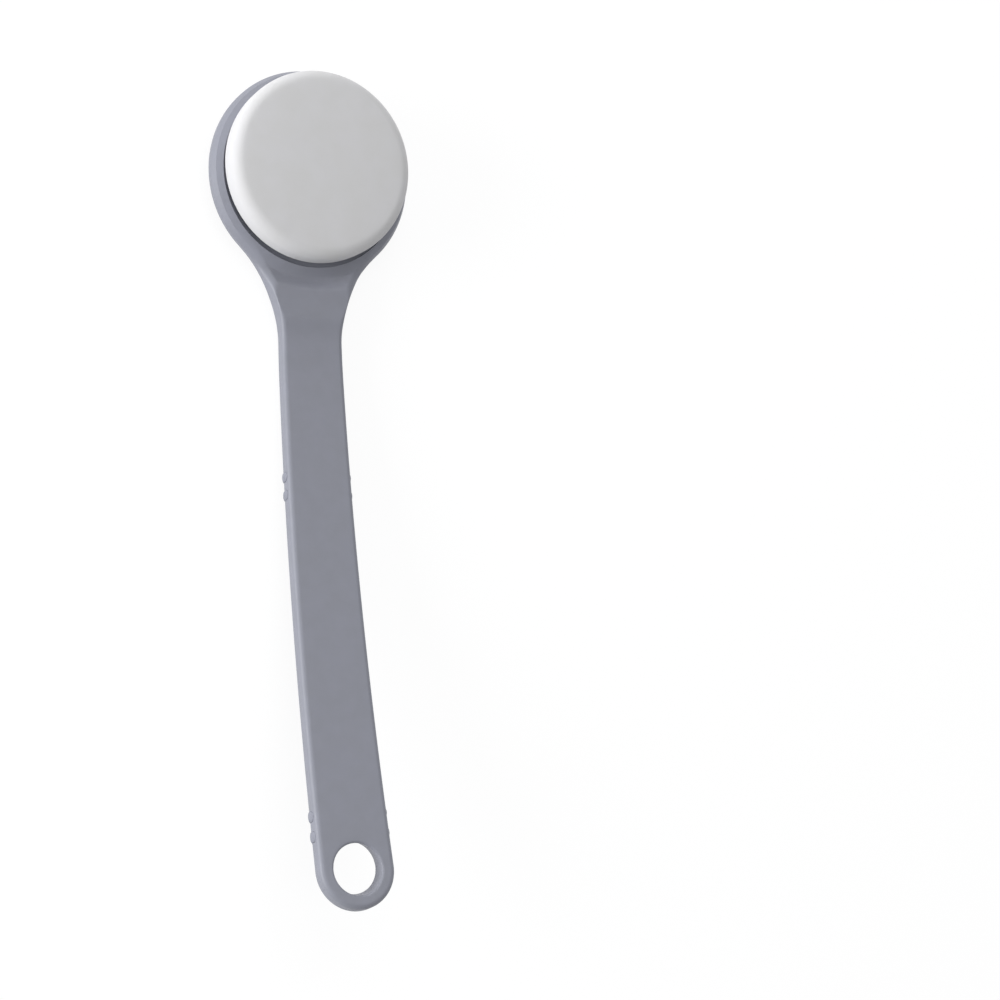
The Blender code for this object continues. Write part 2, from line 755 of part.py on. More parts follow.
def main():
    """Build every piece."""
    clear_scene()
    shell_plastic = make_material("shell_plastic", SHELL_GREY, 0.45)
    rib_rubber = make_material("rib_rubber", RIB_GREY, 0.70)
    cover_skin = make_material("cover_skin", COVER_WHITE, 0.50)
    foam = make_material("foam", FOAM_WHITE, 0.95)
    carrier_plastic = make_material("carrier_plastic", CARRIER_WHITE, 0.40)
    adhesive = make_material("adhesive", ADHESIVE_CLEAR, 0.60)
    ring_rubber = make_material("ring_rubber", RING_BLACK, 0.60)
    steel = make_material("screw_steel", SCREW_STEEL, 0.30, metallic=1.0)

    build_front_shell(shell_plastic)
    build_back_shell(shell_plastic)
    for index, station in enumerate(rib_stations(), start=1):
        build_rib(f"grip_rib_{index}", station, rib_rubber)
    for index, angle in enumerate(SCREW_ANGLES, start=1):
        build_screw(f"head_screw_{index}", angle, steel)

    pad_axis = bpy.data.objects.new("pad_axis", None)
    bpy.context.scene.collection.objects.link(pad_axis)
    pad_axis.matrix_world = frame_at(0.0)
    pad_pieces = [
        build_carrier(carrier_plastic),
        build_plug_ring(ring_rubber),
        build_adhesive(adhesive),
        build_foam(foam),
        build_cover(cover_skin),
    ]
    for piece in pad_pieces:
        piece.parent = pad_axis


main()
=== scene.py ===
# %% [markdown]
# # Back lotion applicator
#
# A long, gently curved plastic handle with a hanging eye at one end and a round head at the other.
# A soft white pad sits on the head and pulls straight off to be washed. The handle is two moulded
# shells, one behind the other, with a few soft ribs set across its back.
#
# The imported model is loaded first. It gives the pieces, their places and the one joint. This script
# then models what is seen: the shells, the pad and the finish of every surface.

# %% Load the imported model
import math

import bmesh
import bpy
from mathutils import Matrix, Vector


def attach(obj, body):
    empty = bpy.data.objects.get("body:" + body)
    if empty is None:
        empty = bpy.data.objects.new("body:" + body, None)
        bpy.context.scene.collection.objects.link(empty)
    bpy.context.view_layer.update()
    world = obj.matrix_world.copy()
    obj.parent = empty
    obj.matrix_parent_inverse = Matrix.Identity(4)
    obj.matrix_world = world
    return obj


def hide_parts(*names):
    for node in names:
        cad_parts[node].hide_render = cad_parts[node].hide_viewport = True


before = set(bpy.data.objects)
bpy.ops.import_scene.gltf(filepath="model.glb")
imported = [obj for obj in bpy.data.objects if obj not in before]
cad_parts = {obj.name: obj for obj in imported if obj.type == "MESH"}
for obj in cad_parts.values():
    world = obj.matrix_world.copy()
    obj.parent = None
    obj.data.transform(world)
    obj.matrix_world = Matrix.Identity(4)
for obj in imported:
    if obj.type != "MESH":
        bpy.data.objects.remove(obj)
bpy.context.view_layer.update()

MM = 0.001
print("pieces:", sorted(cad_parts))

# %% [markdown]
# ## The lengths of the real object
#
# They are the solids' own, or about a millimetre off where the finer shape needs it, so the new pieces
# land where the old ones are. A station is a length along the handle's curve, from the middle of the
# head towards the eye.

# %% Lengths
PAD_RADIUS = 43.5 * MM
PAD_HEIGHT = 14.0 * MM
PAD_EDGE_RADIUS = 5.7 * MM
PAD_FOOT_RADIUS = 1.4 * MM
PAD_CROWN = 0.6 * MM
COVER_THICKNESS = 0.7 * MM
HEM_WIDTH = 3.8 * MM
PAD_OFFSET = 1.5 * MM

HEAD_RADIUS = 48.6 * MM
NECK_WIDTH = 29.5 * MM
NECK_STATION = 79.7 * MM
EYE_END_WIDTH = 33.5 * MM
END_STATION = 332.0 * MM
THICKNESS = 8.1 * MM
EDGE_RADIUS = 2.2 * MM
WALL = 2.0 * MM

HEAD_TILT = 6.9
HEAD_FLAT = 49.6 * MM
HEAD_BEND = 12.0 * MM
NECK_FLAT = 23.0 * MM
NECK_BEND = 11.0 * MM
NECK_TURN = 3.3
GRIP_TURN = 12.0
REST_Y = 140.075 * MM

EYE_RADIUS = 10.75 * MM
EYE_STATION = 315.65 * MM
EYE_RIM_RADIUS = 1.0 * MM

SHOULDER_TOP_RADIUS = 43.6 * MM
SHOULDER_RISE = 1.2 * MM
HALF_THICKNESS = THICKNESS / 2
PLATEAU = HALF_THICKNESS + SHOULDER_RISE
CARRIER_BOTTOM = PLATEAU + 0.3 * MM
CAVITY_HALF = HALF_THICKNESS - WALL
print("the handle is", round((HEAD_RADIUS + END_STATION) / MM, 1), "mm along its curve")

# %% [markdown]
# ## The side curve
#
# Seen from the side the applicator is one bent strip: a flat head that is tilted a little, a bend, a
# straight neck that it rests on, a second bend and the long gentle curve of the grip. Every piece of
# the handle is modelled flat and then laid along this curve. A Curve modifier would bend it too, but
# the sum below follows the very arcs that the solids follow.


# %% Side curve
def side_curve(station):
    """Height, distance and heading of the handle's middle surface at a station."""
    heading = -math.radians(HEAD_TILT)
    straight = min(station, HEAD_FLAT)
    y = -math.cos(heading) * straight
    z = math.sin(heading) * straight
    left = station - HEAD_FLAT
    grip = END_STATION - HEAD_FLAT - HEAD_BEND - NECK_FLAT - NECK_BEND
    stretches = ((HEAD_BEND, HEAD_TILT), (NECK_FLAT, 0.0), (NECK_BEND, NECK_TURN), (grip, GRIP_TURN))
    for length, degrees in stretches:
        if left <= 0.0:
            break
        share = min(left / length, 1.0)
        turn = math.radians(degrees) * share
        run = length * share
        if turn:
            bend = run / turn
            y -= bend * (math.sin(heading + turn) - math.sin(heading))
            z += bend * (math.cos(heading) - math.cos(heading + turn))
        else:
            y -= run * math.cos(heading)
            z += run * math.sin(heading)
        heading += turn
        left -= length
    return y, z, heading


REST_Z = HALF_THICKNESS - side_curve(HEAD_FLAT + HEAD_BEND)[1]


def frame_at(station):
    """Place on the curve: X across, Y towards the head, Z out of the handle's face."""
    y, z, heading = side_curve(station)
    return Matrix.Translation((0.0, REST_Y + y, REST_Z + z)) @ Matrix.Rotation(-heading, 4, "X")


HEAD = frame_at(0.0)
print("middle of the head in mm:", [round(value / MM, 2) for value in HEAD.translation])

# %% [markdown]
# ## Helpers for the mesh tools
#
# Blender's mesh tools act on whatever is selected, as they do by hand. These few helpers start clean,
# pick vertices or faces by their place, and put a finished piece on its body.


# %% Helpers for selecting
def start_clean():
    """Leave edit mode and deselect everything."""
    if bpy.context.object is not None and bpy.context.object.mode != "OBJECT":
        bpy.ops.object.mode_set(mode="OBJECT")
    bpy.ops.object.select_all(action="DESELECT")


def pick(kind, test):
    """In edit mode, select only the vertices, edges or faces that pass a test, and count them."""
    mesh = bpy.context.edit_object.data
    bpy.ops.mesh.select_mode(type={"verts": "VERT", "edges": "EDGE", "faces": "FACE"}[kind])
    bpy.ops.mesh.select_all(action="DESELECT")
    work = bmesh.from_edit_mesh(mesh)
    count = 0
    for part in getattr(work, kind):
        if test(part):
            part.select_set(True)
            count += 1
    bmesh.update_edit_mesh(mesh)
    return count


def only(item):
    """Make one object the selected and active one."""
    start_clean()
    item.select_set(True)
    bpy.context.view_layer.objects.active = item
    return item


def apply_modifier(item, kind, **settings):
    """Add one modifier with its settings and apply it."""
    only(item)
    modifier = item.modifiers.new(kind.lower(), kind)
    for name, value in settings.items():
        setattr(modifier, name, value)
    bpy.ops.object.modifier_apply(modifier=modifier.name)
    return item


# %% Helper for joining and cutting solids
def combine(target, tool, operation):
    """Join a tool to a solid or cut it out of the solid, and remove the tool.

    The Manifold solver copes with the many strips that lie in one plane here.
    """
    apply_modifier(target, "BOOLEAN", object=tool, operation=operation, solver="MANIFOLD")
    bpy.data.objects.remove(tool, do_unlink=True)


# %% Helper that finishes a piece
def finish_piece(item, body, material, replaced=(), smooth_angle=30.0):
    """Point the faces outwards, smooth the round stretches and put the piece on its body."""
    only(item)
    bpy.ops.object.mode_set(mode="EDIT")
    bpy.ops.mesh.select_all(action="SELECT")
    bpy.ops.mesh.normals_make_consistent(inside=False)
    bpy.ops.object.mode_set(mode="OBJECT")
    bpy.ops.object.transform_apply(location=True, rotation=True, scale=True)
    bpy.ops.object.shade_smooth_by_angle(angle=math.radians(smooth_angle))
    item.data.materials.clear()
    item.data.materials.append(material)
    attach(item, body)
    if replaced:
        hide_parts(*replaced)
    print(item.name, "has", len(item.data.polygons), "faces")
    return item


# %% [markdown]
# ## Finishes
#
# Each material is named for the real one and starts from its usual values. Colours are written as
# sRGB hex values, as a colour picker shows them, and one function turns them linear. One more
# function adds a node with its settings and its links.


# %% Helpers for materials
def linear(code):
    """Turn an sRGB hex value into the linear colour that shaders work in."""
    channels = [int(code[place:place + 2], 16) / 255 for place in (0, 2, 4)]
    bent = [v / 12.92 if v <= 0.04045 else ((v + 0.055) / 1.055) ** 2.4 for v in channels]
    return (*bent, 1.0)


def node(tree, kind, settings=None, links=None, **values):
    """Add a node: its settings are attributes, its values are sockets, its links come from sockets."""
    made = tree.nodes.new(kind)
    for name, value in (settings or {}).items():
        setattr(made, name, value)
    for name, value in values.items():
        made.inputs[name.replace("_", " ")].default_value = value
    for socket, source in (links or {}).items():
        tree.links.new(source, made.inputs[socket])
    return made


def new_material(name, colour, **values):
    """A Principled material with its plain values set, ready for its pattern nodes."""
    material = bpy.data.materials.new(name)
    material.use_nodes = True
    shader = material.node_tree.nodes["Principled BSDF"]
    shader.inputs["Base Color"].default_value = linear(colour)
    for socket, value in values.items():
        shader.inputs[socket.replace("_", " ")].default_value = value
    return material, material.node_tree, shader


def vary_colour(tree, shader, first, second, grain):
    """Blend two close colours by a soft noise whose spots are about one grain across."""
    place = node(tree, "ShaderNodeTexCoord")
    noise = node(
        tree, "ShaderNodeTexNoise", links={"Vector": place.outputs["Object"]},
        Scale=1 / grain, Detail=3.0, Roughness=0.5,
    )
    ramp = node(tree, "ShaderNodeValToRGB", links={"Fac": noise.outputs["Fac"]})
    for stop, position, code in zip(ramp.color_ramp.elements, (0.35, 0.65), (first, second)):
        stop.position = position
        stop.color = linear(code)
    tree.links.new(ramp.outputs["Color"], shader.inputs["Base Color"])
    return place


def vary_roughness(tree, shader, place, low, high, grain):
    """Let the roughness wander between two values, so that highlights aren't dead even."""
    noise = node(
        tree, "ShaderNodeTexNoise", links={"Vector": place.outputs["Object"]},
        Scale=1 / grain, Detail=2.0,
    )
    spread = node(
        tree, "ShaderNodeMapRange", links={"Value": noise.outputs["Fac"]},
        From_Min=0.3, From_Max=0.7, To_Min=low, To_Max=high,
    )
    tree.links.new(spread.outputs["Result"], shader.inputs["Roughness"])


def fine_bump(tree, shader, place, grain, depth):
    """Raise a fine grain of a real size and depth on the surface."""
    noise = node(
        tree, "ShaderNodeTexNoise", links={"Vector": place.outputs["Object"]},
        Scale=1 / grain, Detail=2.0,
    )
    bump = node(
        tree, "ShaderNodeBump", links={"Height": noise.outputs["Fac"]},
        Strength=1.0, Distance=depth,
    )
    tree.links.new(bump.outputs["Normal"], shader.inputs["Normal"])


# %% [markdown]
# ### Satin moulded polypropylene, cool grey
#
# The handle is moulded in a tool with a fine spark-eroded texture. It gives a soft satin sheen with no
# sharp reflection, a grain of about a third of a millimetre, and hardly any change of colour.

# %% Shell material
shell_plastic, tree, shader = new_material("satin_moulded_polypropylene", "868894", IOR=1.49)
place = vary_colour(tree, shader, "83858F", "858792", grain=7 * MM)
vary_roughness(tree, shader, place, 0.46, 0.54, grain=4 * MM)
fine_bump(tree, shader, place, grain=0.35 * MM, depth=0.012 * MM)

# %% [markdown]
# ### Soft grip rubber, grey
#
# The ribs are a soft thermoplastic rubber in nearly the same grey. It is more matt than the shell.

# %% Rib material
rib_rubber, tree, shader = new_material("matt_moulded_grip_rubber", "858792", IOR=1.50)
place = vary_colour(tree, shader, "82848F", "878994", grain=3 * MM)
vary_roughness(tree, shader, place, 0.60, 0.72, grain=2 * MM)
fine_bump(tree, shader, place, grain=0.25 * MM, depth=0.015 * MM)

# %% [markdown]
# ### Coated knit pad skin, white
#
# The cover is a thin, closely coated knit, pulled tight over the foam. From arm's length it is a
# smooth, nearly matt white with hardly any sheen. Its knit shows only as a very fine grain.

# %% Cover material
cover_skin, tree, shader = new_material(
    "coated_knit_pad_skin", "CECED0", IOR=1.45, Sheen_Weight=0.05, Sheen_Roughness=0.4,
)
place = vary_colour(tree, shader, "CDCDCE", "CFCFD1", grain=12 * MM)
vary_roughness(tree, shader, place, 0.66, 0.76, grain=5 * MM)
fine_bump(tree, shader, place, grain=0.45 * MM, depth=0.010 * MM)

# %% [markdown]
# ### Open foam, adhesive, carrier plastic, rubber and steel
#
# These are hidden until the pad is pulled off. Foam is matt and full of small cells, the adhesive disc
# is a slightly tacky fleece, the carrier is white moulded ABS, the plug's ring is black nitrile
# rubber, and the screws are zinc-plated steel with the fine turning marks of their heads.

# %% Foam material
foam_white, tree, shader = new_material("open_cell_polyurethane_foam", "E6E4DD", IOR=1.45)
place = vary_colour(tree, shader, "DEDBD2", "ECEAE4", grain=1.2 * MM)
vary_roughness(tree, shader, place, 0.88, 0.98, grain=3 * MM)
fine_bump(tree, shader, place, grain=0.8 * MM, depth=0.15 * MM)

# %% Adhesive material
adhesive_clear, tree, shader = new_material("adhesive_fleece", "CBC9BC", IOR=1.47)
place = vary_colour(tree, shader, "C6C4B6", "D0CEC2", grain=2 * MM)
vary_roughness(tree, shader, place, 0.50, 0.70, grain=2 * MM)
fine_bump(tree, shader, place, grain=0.5 * MM, depth=0.03 * MM)

# %% Carrier material
carrier_white, tree, shader = new_material("satin_moulded_abs_white", "DCDCDA", IOR=1.52)
place = vary_colour(tree, shader, "DADAD7", "DEDEDC", grain=10 * MM)
vary_roughness(tree, shader, place, 0.36, 0.44, grain=4 * MM)
fine_bump(tree, shader, place, grain=0.35 * MM, depth=0.008 * MM)

# %% Ring material
ring_black, tree, shader = new_material("moulded_nitrile_rubber", "2B2B2D", IOR=1.52)
place = vary_colour(tree, shader, "272729", "303032", grain=1.5 * MM)
vary_roughness(tree, shader, place, 0.50, 0.64, grain=1 * MM)
fine_bump(tree, shader, place, grain=0.2 * MM, depth=0.01 * MM)

# %% Screw material
screw_steel, tree, shader = new_material("zinc_plated_steel", "C6C8CA", Metallic=1.0)
place = vary_colour(tree, shader, "BFC1C4", "CDCFD1", grain=1 * MM)
vary_roughness(tree, shader, place, 0.24, 0.36, grain=0.6 * MM)
fine_bump(tree, shader, place, grain=0.15 * MM, depth=0.004 * MM)
print("finishes:", len([item for item in bpy.data.materials if item.use_nodes]))

# %% [markdown]
# ## The handle's outline
#
# Seen square on, the outline is a circle, a hollow curve that runs it into the handle, a nearly
# straight flank and a half circle round the eye. Each of them touches the next smoothly. A draughtsman
# would draw it with a compass, and so does this: one vertex is spun about one centre after the other.
# Half of it is drawn, and the other half is its mirror image.

# %% Where the arcs meet
END_RADIUS = EYE_END_WIDTH / 2
END_CENTRE = END_STATION - END_RADIUS
along = END_CENTRE - NECK_STATION
across = NECK_WIDTH / 2
LEAN = math.atan2(along, across) - math.acos(END_RADIUS / math.hypot(across, along))
gap_squared = across * across + NECK_STATION * NECK_STATION - HEAD_RADIUS * HEAD_RADIUS
FLARE_RADIUS = gap_squared / (
    2 * (HEAD_RADIUS - across * math.cos(LEAN) + NECK_STATION * math.sin(LEAN))
)
FLARE_X = across + FLARE_RADIUS * math.cos(LEAN)
FLARE_STATION = NECK_STATION - FLARE_RADIUS * math.sin(LEAN)
MEET = math.atan2(FLARE_X, -FLARE_STATION)
FLARE_TURN = MEET + LEAN - math.pi / 2
print("the flare has a radius of", round(FLARE_RADIUS / MM, 1), "mm")


def half_width_at(station):
    """Half the handle's width along its straight flank."""
    return NECK_WIDTH / 2 + (station - NECK_STATION) * math.tan(LEAN)


def depth_inside(x, station):
    """How far a point of the plan lies inside the outline."""
    x = abs(x)
    angle = math.atan2(x, -station)
    if angle <= MEET and station < FLARE_STATION:
        return HEAD_RADIUS - math.hypot(x, station)
    if station < NECK_STATION:
        return math.hypot(FLARE_X - x, FLARE_STATION - station) - FLARE_RADIUS
    if station > END_CENTRE:
        return END_RADIUS - math.hypot(x, station - END_CENTRE)
    return (half_width_at(station) - x) * math.cos(LEAN)


# %% Drawing the outline
HEAD_STEPS = 56
FLARE_STEPS = 27
FLARE_PARTS = 10
FLANK_STEPS = 78
END_STEPS = 20
HAIR = 0.02 * MM


def draw_outline(name, inset=0.0, end_centre=END_CENTRE, detail=1.0):
    """Draw the closed outline as one flat face, moved inwards, with all of its steps or a share.

    The flare's first tenth is one long step, so that the neck's first row is clear of the head.
    """
    end_radius = END_RADIUS - (END_CENTRE - end_centre) * math.sin(LEAN) - inset
    start_clean()
    bpy.ops.mesh.primitive_plane_add(size=MM, location=(0, 0, 0))
    item = bpy.context.object
    item.name = item.data.name = name
    bpy.ops.object.mode_set(mode="EDIT")
    bpy.ops.mesh.merge(type="CENTER")
    bpy.ops.mesh.select_all(action="SELECT")
    bpy.ops.transform.translate(value=(0, HEAD_RADIUS - inset, 0))

    def spin(steps, clockwise, centre_x, centre_station):
        bpy.ops.mesh.spin(
            steps=max(int(steps * detail), 1), angle=clockwise, axis=(0, 0, 1),
            center=(centre_x, -centre_station, 0), use_auto_merge=False,
        )

    spin(HEAD_STEPS, MEET, 0, 0)
    spin(1, -FLARE_TURN / FLARE_PARTS, FLARE_X, FLARE_STATION)
    spin(FLARE_STEPS, -FLARE_TURN * (FLARE_PARTS - 1) / FLARE_PARTS, FLARE_X, FLARE_STATION)
    reach = FLARE_RADIUS + inset
    start = Vector((FLARE_X - reach * math.cos(LEAN), -FLARE_STATION - reach * math.sin(LEAN), 0))
    finish = Vector((end_radius * math.cos(LEAN), end_radius * math.sin(LEAN) - end_centre, 0))
    flank_steps = int(FLANK_STEPS * detail)
    for step in range(flank_steps):
        bpy.ops.mesh.extrude_region_move(
            TRANSFORM_OT_translate={"value": (finish - start) / flank_steps},
        )
    spin(END_STEPS, math.pi / 2 + LEAN, 0, end_centre)
    bpy.ops.object.mode_set(mode="OBJECT")
    apply_modifier(item, "MIRROR", use_axis=(True, False, False), merge_threshold=HAIR)
    bpy.ops.object.mode_set(mode="EDIT")
    bpy.ops.mesh.select_all(action="SELECT")
    bpy.ops.mesh.edge_face_add()
    bpy.ops.object.mode_set(mode="OBJECT")
    return item


# %% [markdown]
# ## From the outline to a slab with rounded edges
#
# The face is drawn as a flat plan first, with all the lines that its shape will need, and lifted to
# its heights afterwards. Insets run along the edge, where it will be rounded. The neck and the handle
# are a strip that is extruded from the head's circle row by row: the first rows follow the circle,
# the later ones run straight across. Round the eye, the end's last line is drawn inwards to the hole.
# Lifting a plan keeps every line where the shape turns, which a Boolean of two solids wouldn't.

# %% Helpers for the plan
NEAR = 0.03 * MM
TOUCH = 0.001 * MM


def near(value, target):
    """Whether two lengths are the same within a hair."""
    return abs(value - target) < NEAR


def on_circle(vert, radius):
    """Whether a vertex of the flat plan lies on a circle about the head's middle."""
    return near(math.hypot(vert.co.x, vert.co.y), radius)


def smooth_step(value):
    """Ease from 0 to 1."""
    value = min(max(value, 0.0), 1.0)
    return value * value * (3 - 2 * value)


def place_row(verts, end_x, end_station, straight):
    """Put a row of the strip between its two ends, as an arc about the head, a line or a mix."""
    reach = math.hypot(end_x, end_station)
    half_angle = math.asin(end_x / reach)
    ordered = sorted(verts, key=lambda vert: vert.co.x)
    for index, vert in enumerate(ordered):
        share = 2 * index / (len(ordered) - 1) - 1
        arc = Vector((reach * math.sin(half_angle * share), -reach * math.cos(half_angle * share), 0))
        line = Vector((end_x * share, -end_station, 0))
        vert.co = arc.lerp(line, straight)


# %% The edge, the head's circle and the rows of the neck and grip
EDGE_SEGMENTS = 8
FIELD_INSETS = (2.7 * MM, 3.2 * MM, 3.7 * MM, 4.2 * MM)
EDGE_FIELD = FIELD_INSETS[-1]
NECK_COLUMNS = 24
EYE_ROW_STATION = 297 * MM
STRAIGHT_START = 46 * MM
ROW_MARGIN = 0.5 * MM
CIRCLE_MARGIN = 0.005 * MM
HEAD_CIRCLE = HEAD_RADIUS - EDGE_FIELD
CORNER = Vector((HEAD_CIRCLE * math.sin(MEET), HEAD_CIRCLE * math.cos(MEET), 0))


def draw_edge(item):
    """Inset the outline where its edge will be rounded, and leave the middle open."""
    only(item)
    bpy.ops.object.mode_set(mode="EDIT")
    bpy.ops.mesh.select_all(action="SELECT")
    steps = range(1, EDGE_SEGMENTS + 1)
    insets = [EDGE_RADIUS * (1 - math.cos(math.pi / 2 * step / EDGE_SEGMENTS)) for step in steps]
    before = 0.0
    for inset in [*insets, *FIELD_INSETS]:
        bpy.ops.mesh.inset(thickness=inset - before, depth=0, use_even_offset=True)
        before = inset
    bpy.ops.mesh.delete(type="ONLY_FACE")


def close_head(item):
    """Close the head's circle across the neck, from one corner to the other."""
    work = bmesh.from_edit_mesh(item.data)
    for place in (CORNER, Vector((-CORNER.x, CORNER.y, 0))):
        min(work.verts, key=lambda vert: (vert.co - place).length).co = place
    pick("verts", lambda vert: (vert.co - CORNER).length < TOUCH)
    bpy.ops.mesh.spin(
        steps=NECK_COLUMNS, angle=2 * (math.pi - MEET), axis=(0, 0, 1), center=(0, 0, 0),
        use_auto_merge=False,
    )
    bpy.ops.mesh.select_all(action="SELECT")
    bpy.ops.mesh.remove_doubles(threshold=HAIR)


def find_row_ends(item):
    """Station and half width of each row, where it ends on the inmost line of the edge."""
    ends = []
    for vert in bmesh.from_edit_mesh(item.data).verts:
        x, station = vert.co.x, -vert.co.y
        past_corner = CORNER.y + station > ROW_MARGIN and station < EYE_ROW_STATION
        if x > 0 and past_corner and near(depth_inside(x, station), EDGE_FIELD):
            if math.hypot(x, station) > HEAD_CIRCLE + CIRCLE_MARGIN:
                ends.append((station, x))
    return sorted(ends)


def draw_rows(item, ends):
    """Extrude the neck and grip from the head's circle, row by row."""
    pick("edges", lambda edge: all(
        on_circle(vert, HEAD_CIRCLE) and vert.co.y < CORNER.y + HAIR for vert in edge.verts
    ))
    for station, x in ends:
        straight = smooth_step((station - STRAIGHT_START) / (NECK_STATION - STRAIGHT_START))
        bpy.ops.mesh.extrude_region_move()
        work = bmesh.from_edit_mesh(item.data)
        place_row([vert for vert in work.verts if vert.select], x, station, straight)
        bmesh.update_edit_mesh(item.data)
    bpy.ops.mesh.select_all(action="SELECT")
    bpy.ops.mesh.remove_doubles(threshold=HAIR)


# %% The eye and the rings of the head
EYE_FIELD_STEPS = 5
RIM_SEGMENTS = 5
HEAD_RINGS = [radius * MM for radius in (44.1, 43.95, 43.84, 43.76, 43.68, 40.3, 40.2)]


def draw_eye(item, last_station):
    """Draw the end's loop inwards to the eye's rim, and step the rim down to the hole."""
    centre = Vector((0, -EYE_STATION, 0))
    count = pick("edges", lambda edge: len(edge.link_faces) == 1 and all(
        -vert.co.y > last_station - HAIR
        and depth_inside(vert.co.x, -vert.co.y) > EDGE_FIELD - NEAR for vert in edge.verts
    ))
    rim = EYE_RADIUS + EYE_RIM_RADIUS
    for steps_left in range(EYE_FIELD_STEPS, 0, -1):
        bpy.ops.mesh.extrude_region_move()
        work = bmesh.from_edit_mesh(item.data)
        for vert in work.verts:
            if vert.select:
                spoke = vert.co - centre
                spoke.length += (rim - spoke.length) / steps_left
                vert.co = centre + spoke
        bmesh.update_edit_mesh(item.data)
    before = rim
    for step in range(1, RIM_SEGMENTS + 1):
        after = EYE_RADIUS + EYE_RIM_RADIUS * (1 - math.sin(math.pi / 2 * step / RIM_SEGMENTS))
        bpy.ops.mesh.extrude_region_move()
        bpy.ops.transform.resize(value=(after / before, after / before, 1), center_override=centre)
        before = after
    return count


def draw_head():
    """Fill the head's circle and inset it at each radius where its face will turn."""
    pick("edges", lambda edge: len(edge.link_faces) == 1 and all(
        on_circle(vert, HEAD_CIRCLE) for vert in edge.verts
    ))
    bpy.ops.mesh.edge_face_add()
    before = HEAD_CIRCLE
    for radius in HEAD_RINGS:
        bpy.ops.mesh.inset(thickness=before - radius, depth=0, use_even_offset=True)
        before = radius


# %% The plan of the handle
plan = draw_outline("plan")
draw_edge(plan)
close_head(plan)
rows = find_row_ends(plan)
draw_rows(plan, rows)
print("the plan has", len(rows), "rows along the neck and grip")
print("the eye's circle has", draw_eye(plan, rows[-1][0]), "points")
draw_head()
bpy.ops.object.mode_set(mode="OBJECT")
print("the plan has", len(plan.data.polygons), "faces")

# %% [markdown]
# ## Lifting the plan
#
# The plan is extruded into a flat slab, and then the points of its face are lifted. The grip's edge is
# a quarter circle, the flare's corners roll off further, and the head's free rim has a small chamfer.
# Inside the rim a sloping shoulder rises to the flat seat of the pad, with a narrow moat under the
# pad's edge. Where the shoulder meets the neck there is a shallow valley, and the neck swells a
# little before it runs into the handle. Each is a small sum, and a smooth maximum blends them the
# way a mould is blended.

# %% Heights of the face
SEAM = 0.02 * MM
SHOULDER_FOOT_RADIUS = 48.2 * MM
SHOULDER_SLOPE = 0.46
SHOULDER_BLEND = 0.25 * MM
SEAT_BLEND = 0.12 * MM
VALLEY_DEPTH = 1.5 * MM
VALLEY_REACH = 9.0 * MM
SWELL_HEIGHT = 2.1 * MM
SWELL_STATION = 60.0 * MM
SWELL_REACH = 19.0 * MM
HEAD_EDGE_REACH = 0.37 * MM
HEAD_EDGE_DROP = 0.35 * MM
HEAD_CHAMFER_WIDTH = 1.77 * MM
HEAD_CHAMFER_DEPTH = 2.4 * MM
EDGE_BLEND = 6.0 * MM
ROLL_DEPTH = 2.2 * MM
ROLL_EDGE_DROP = 0.7 * MM
ROLL_WIDTH = 3.7 * MM
ROLL_POWER = 1.5
LEAST_EDGE = 0.25 * MM
ROLL_STATION = 44.0 * MM
ROLL_REACH = 20.0 * MM
MOAT_OUTER_RADIUS = 43.72 * MM
MOAT_INNER_RADIUS = 40.25 * MM
MOAT_DEPTH = 1.5 * MM
EYE_SLANT = math.tan(side_curve(EYE_STATION)[2])
EYE_FIELD_WIDTH = 2.6 * MM


def smooth_max(first, second, blend):
    """The larger of two heights, rounded over a blend."""
    overlap = max(blend - abs(first - second), 0.0)
    return max(first, second) + overlap * overlap / (4 * blend)


def round_drop(distance, radius):
    """How far a rounded edge has dropped at a distance inside it."""
    if distance >= radius:
        return 0.0
    return radius - math.sqrt(max(radius * radius - (radius - distance) ** 2, 0.0))


def edge_drop(x, station):
    """How far the edge has dropped: chamfered round the head, rolled off at the flare, else round."""
    inside = depth_inside(x, station)
    open_up = smooth_step((math.hypot(x, station) - HEAD_RADIUS) / EDGE_BLEND)
    slope_off = 1 - smooth_step(abs(station - ROLL_STATION) / ROLL_REACH)
    reach = HEAD_EDGE_REACH + (EDGE_RADIUS - HEAD_EDGE_REACH) * open_up
    depth = HEAD_EDGE_DROP + (EDGE_RADIUS - HEAD_EDGE_DROP) * open_up
    depth -= (depth - ROLL_EDGE_DROP) * slope_off
    roll = ROLL_DEPTH * slope_off * max(1 - inside / ROLL_WIDTH, 0.0) ** ROLL_POWER
    on_head = (1 - open_up) * (1 - slope_off)
    chamfer = HEAD_CHAMFER_DEPTH * on_head * max(1 - inside / HEAD_CHAMFER_WIDTH, 0.0)
    return round_drop(inside / reach, 1.0) * depth + roll + chamfer


def eye_drop(x, station):
    """How far the rounded rim of the eye has dropped."""
    return round_drop(max(math.hypot(x, station - EYE_STATION) - EYE_RADIUS, 0.0), EYE_RIM_RADIUS)


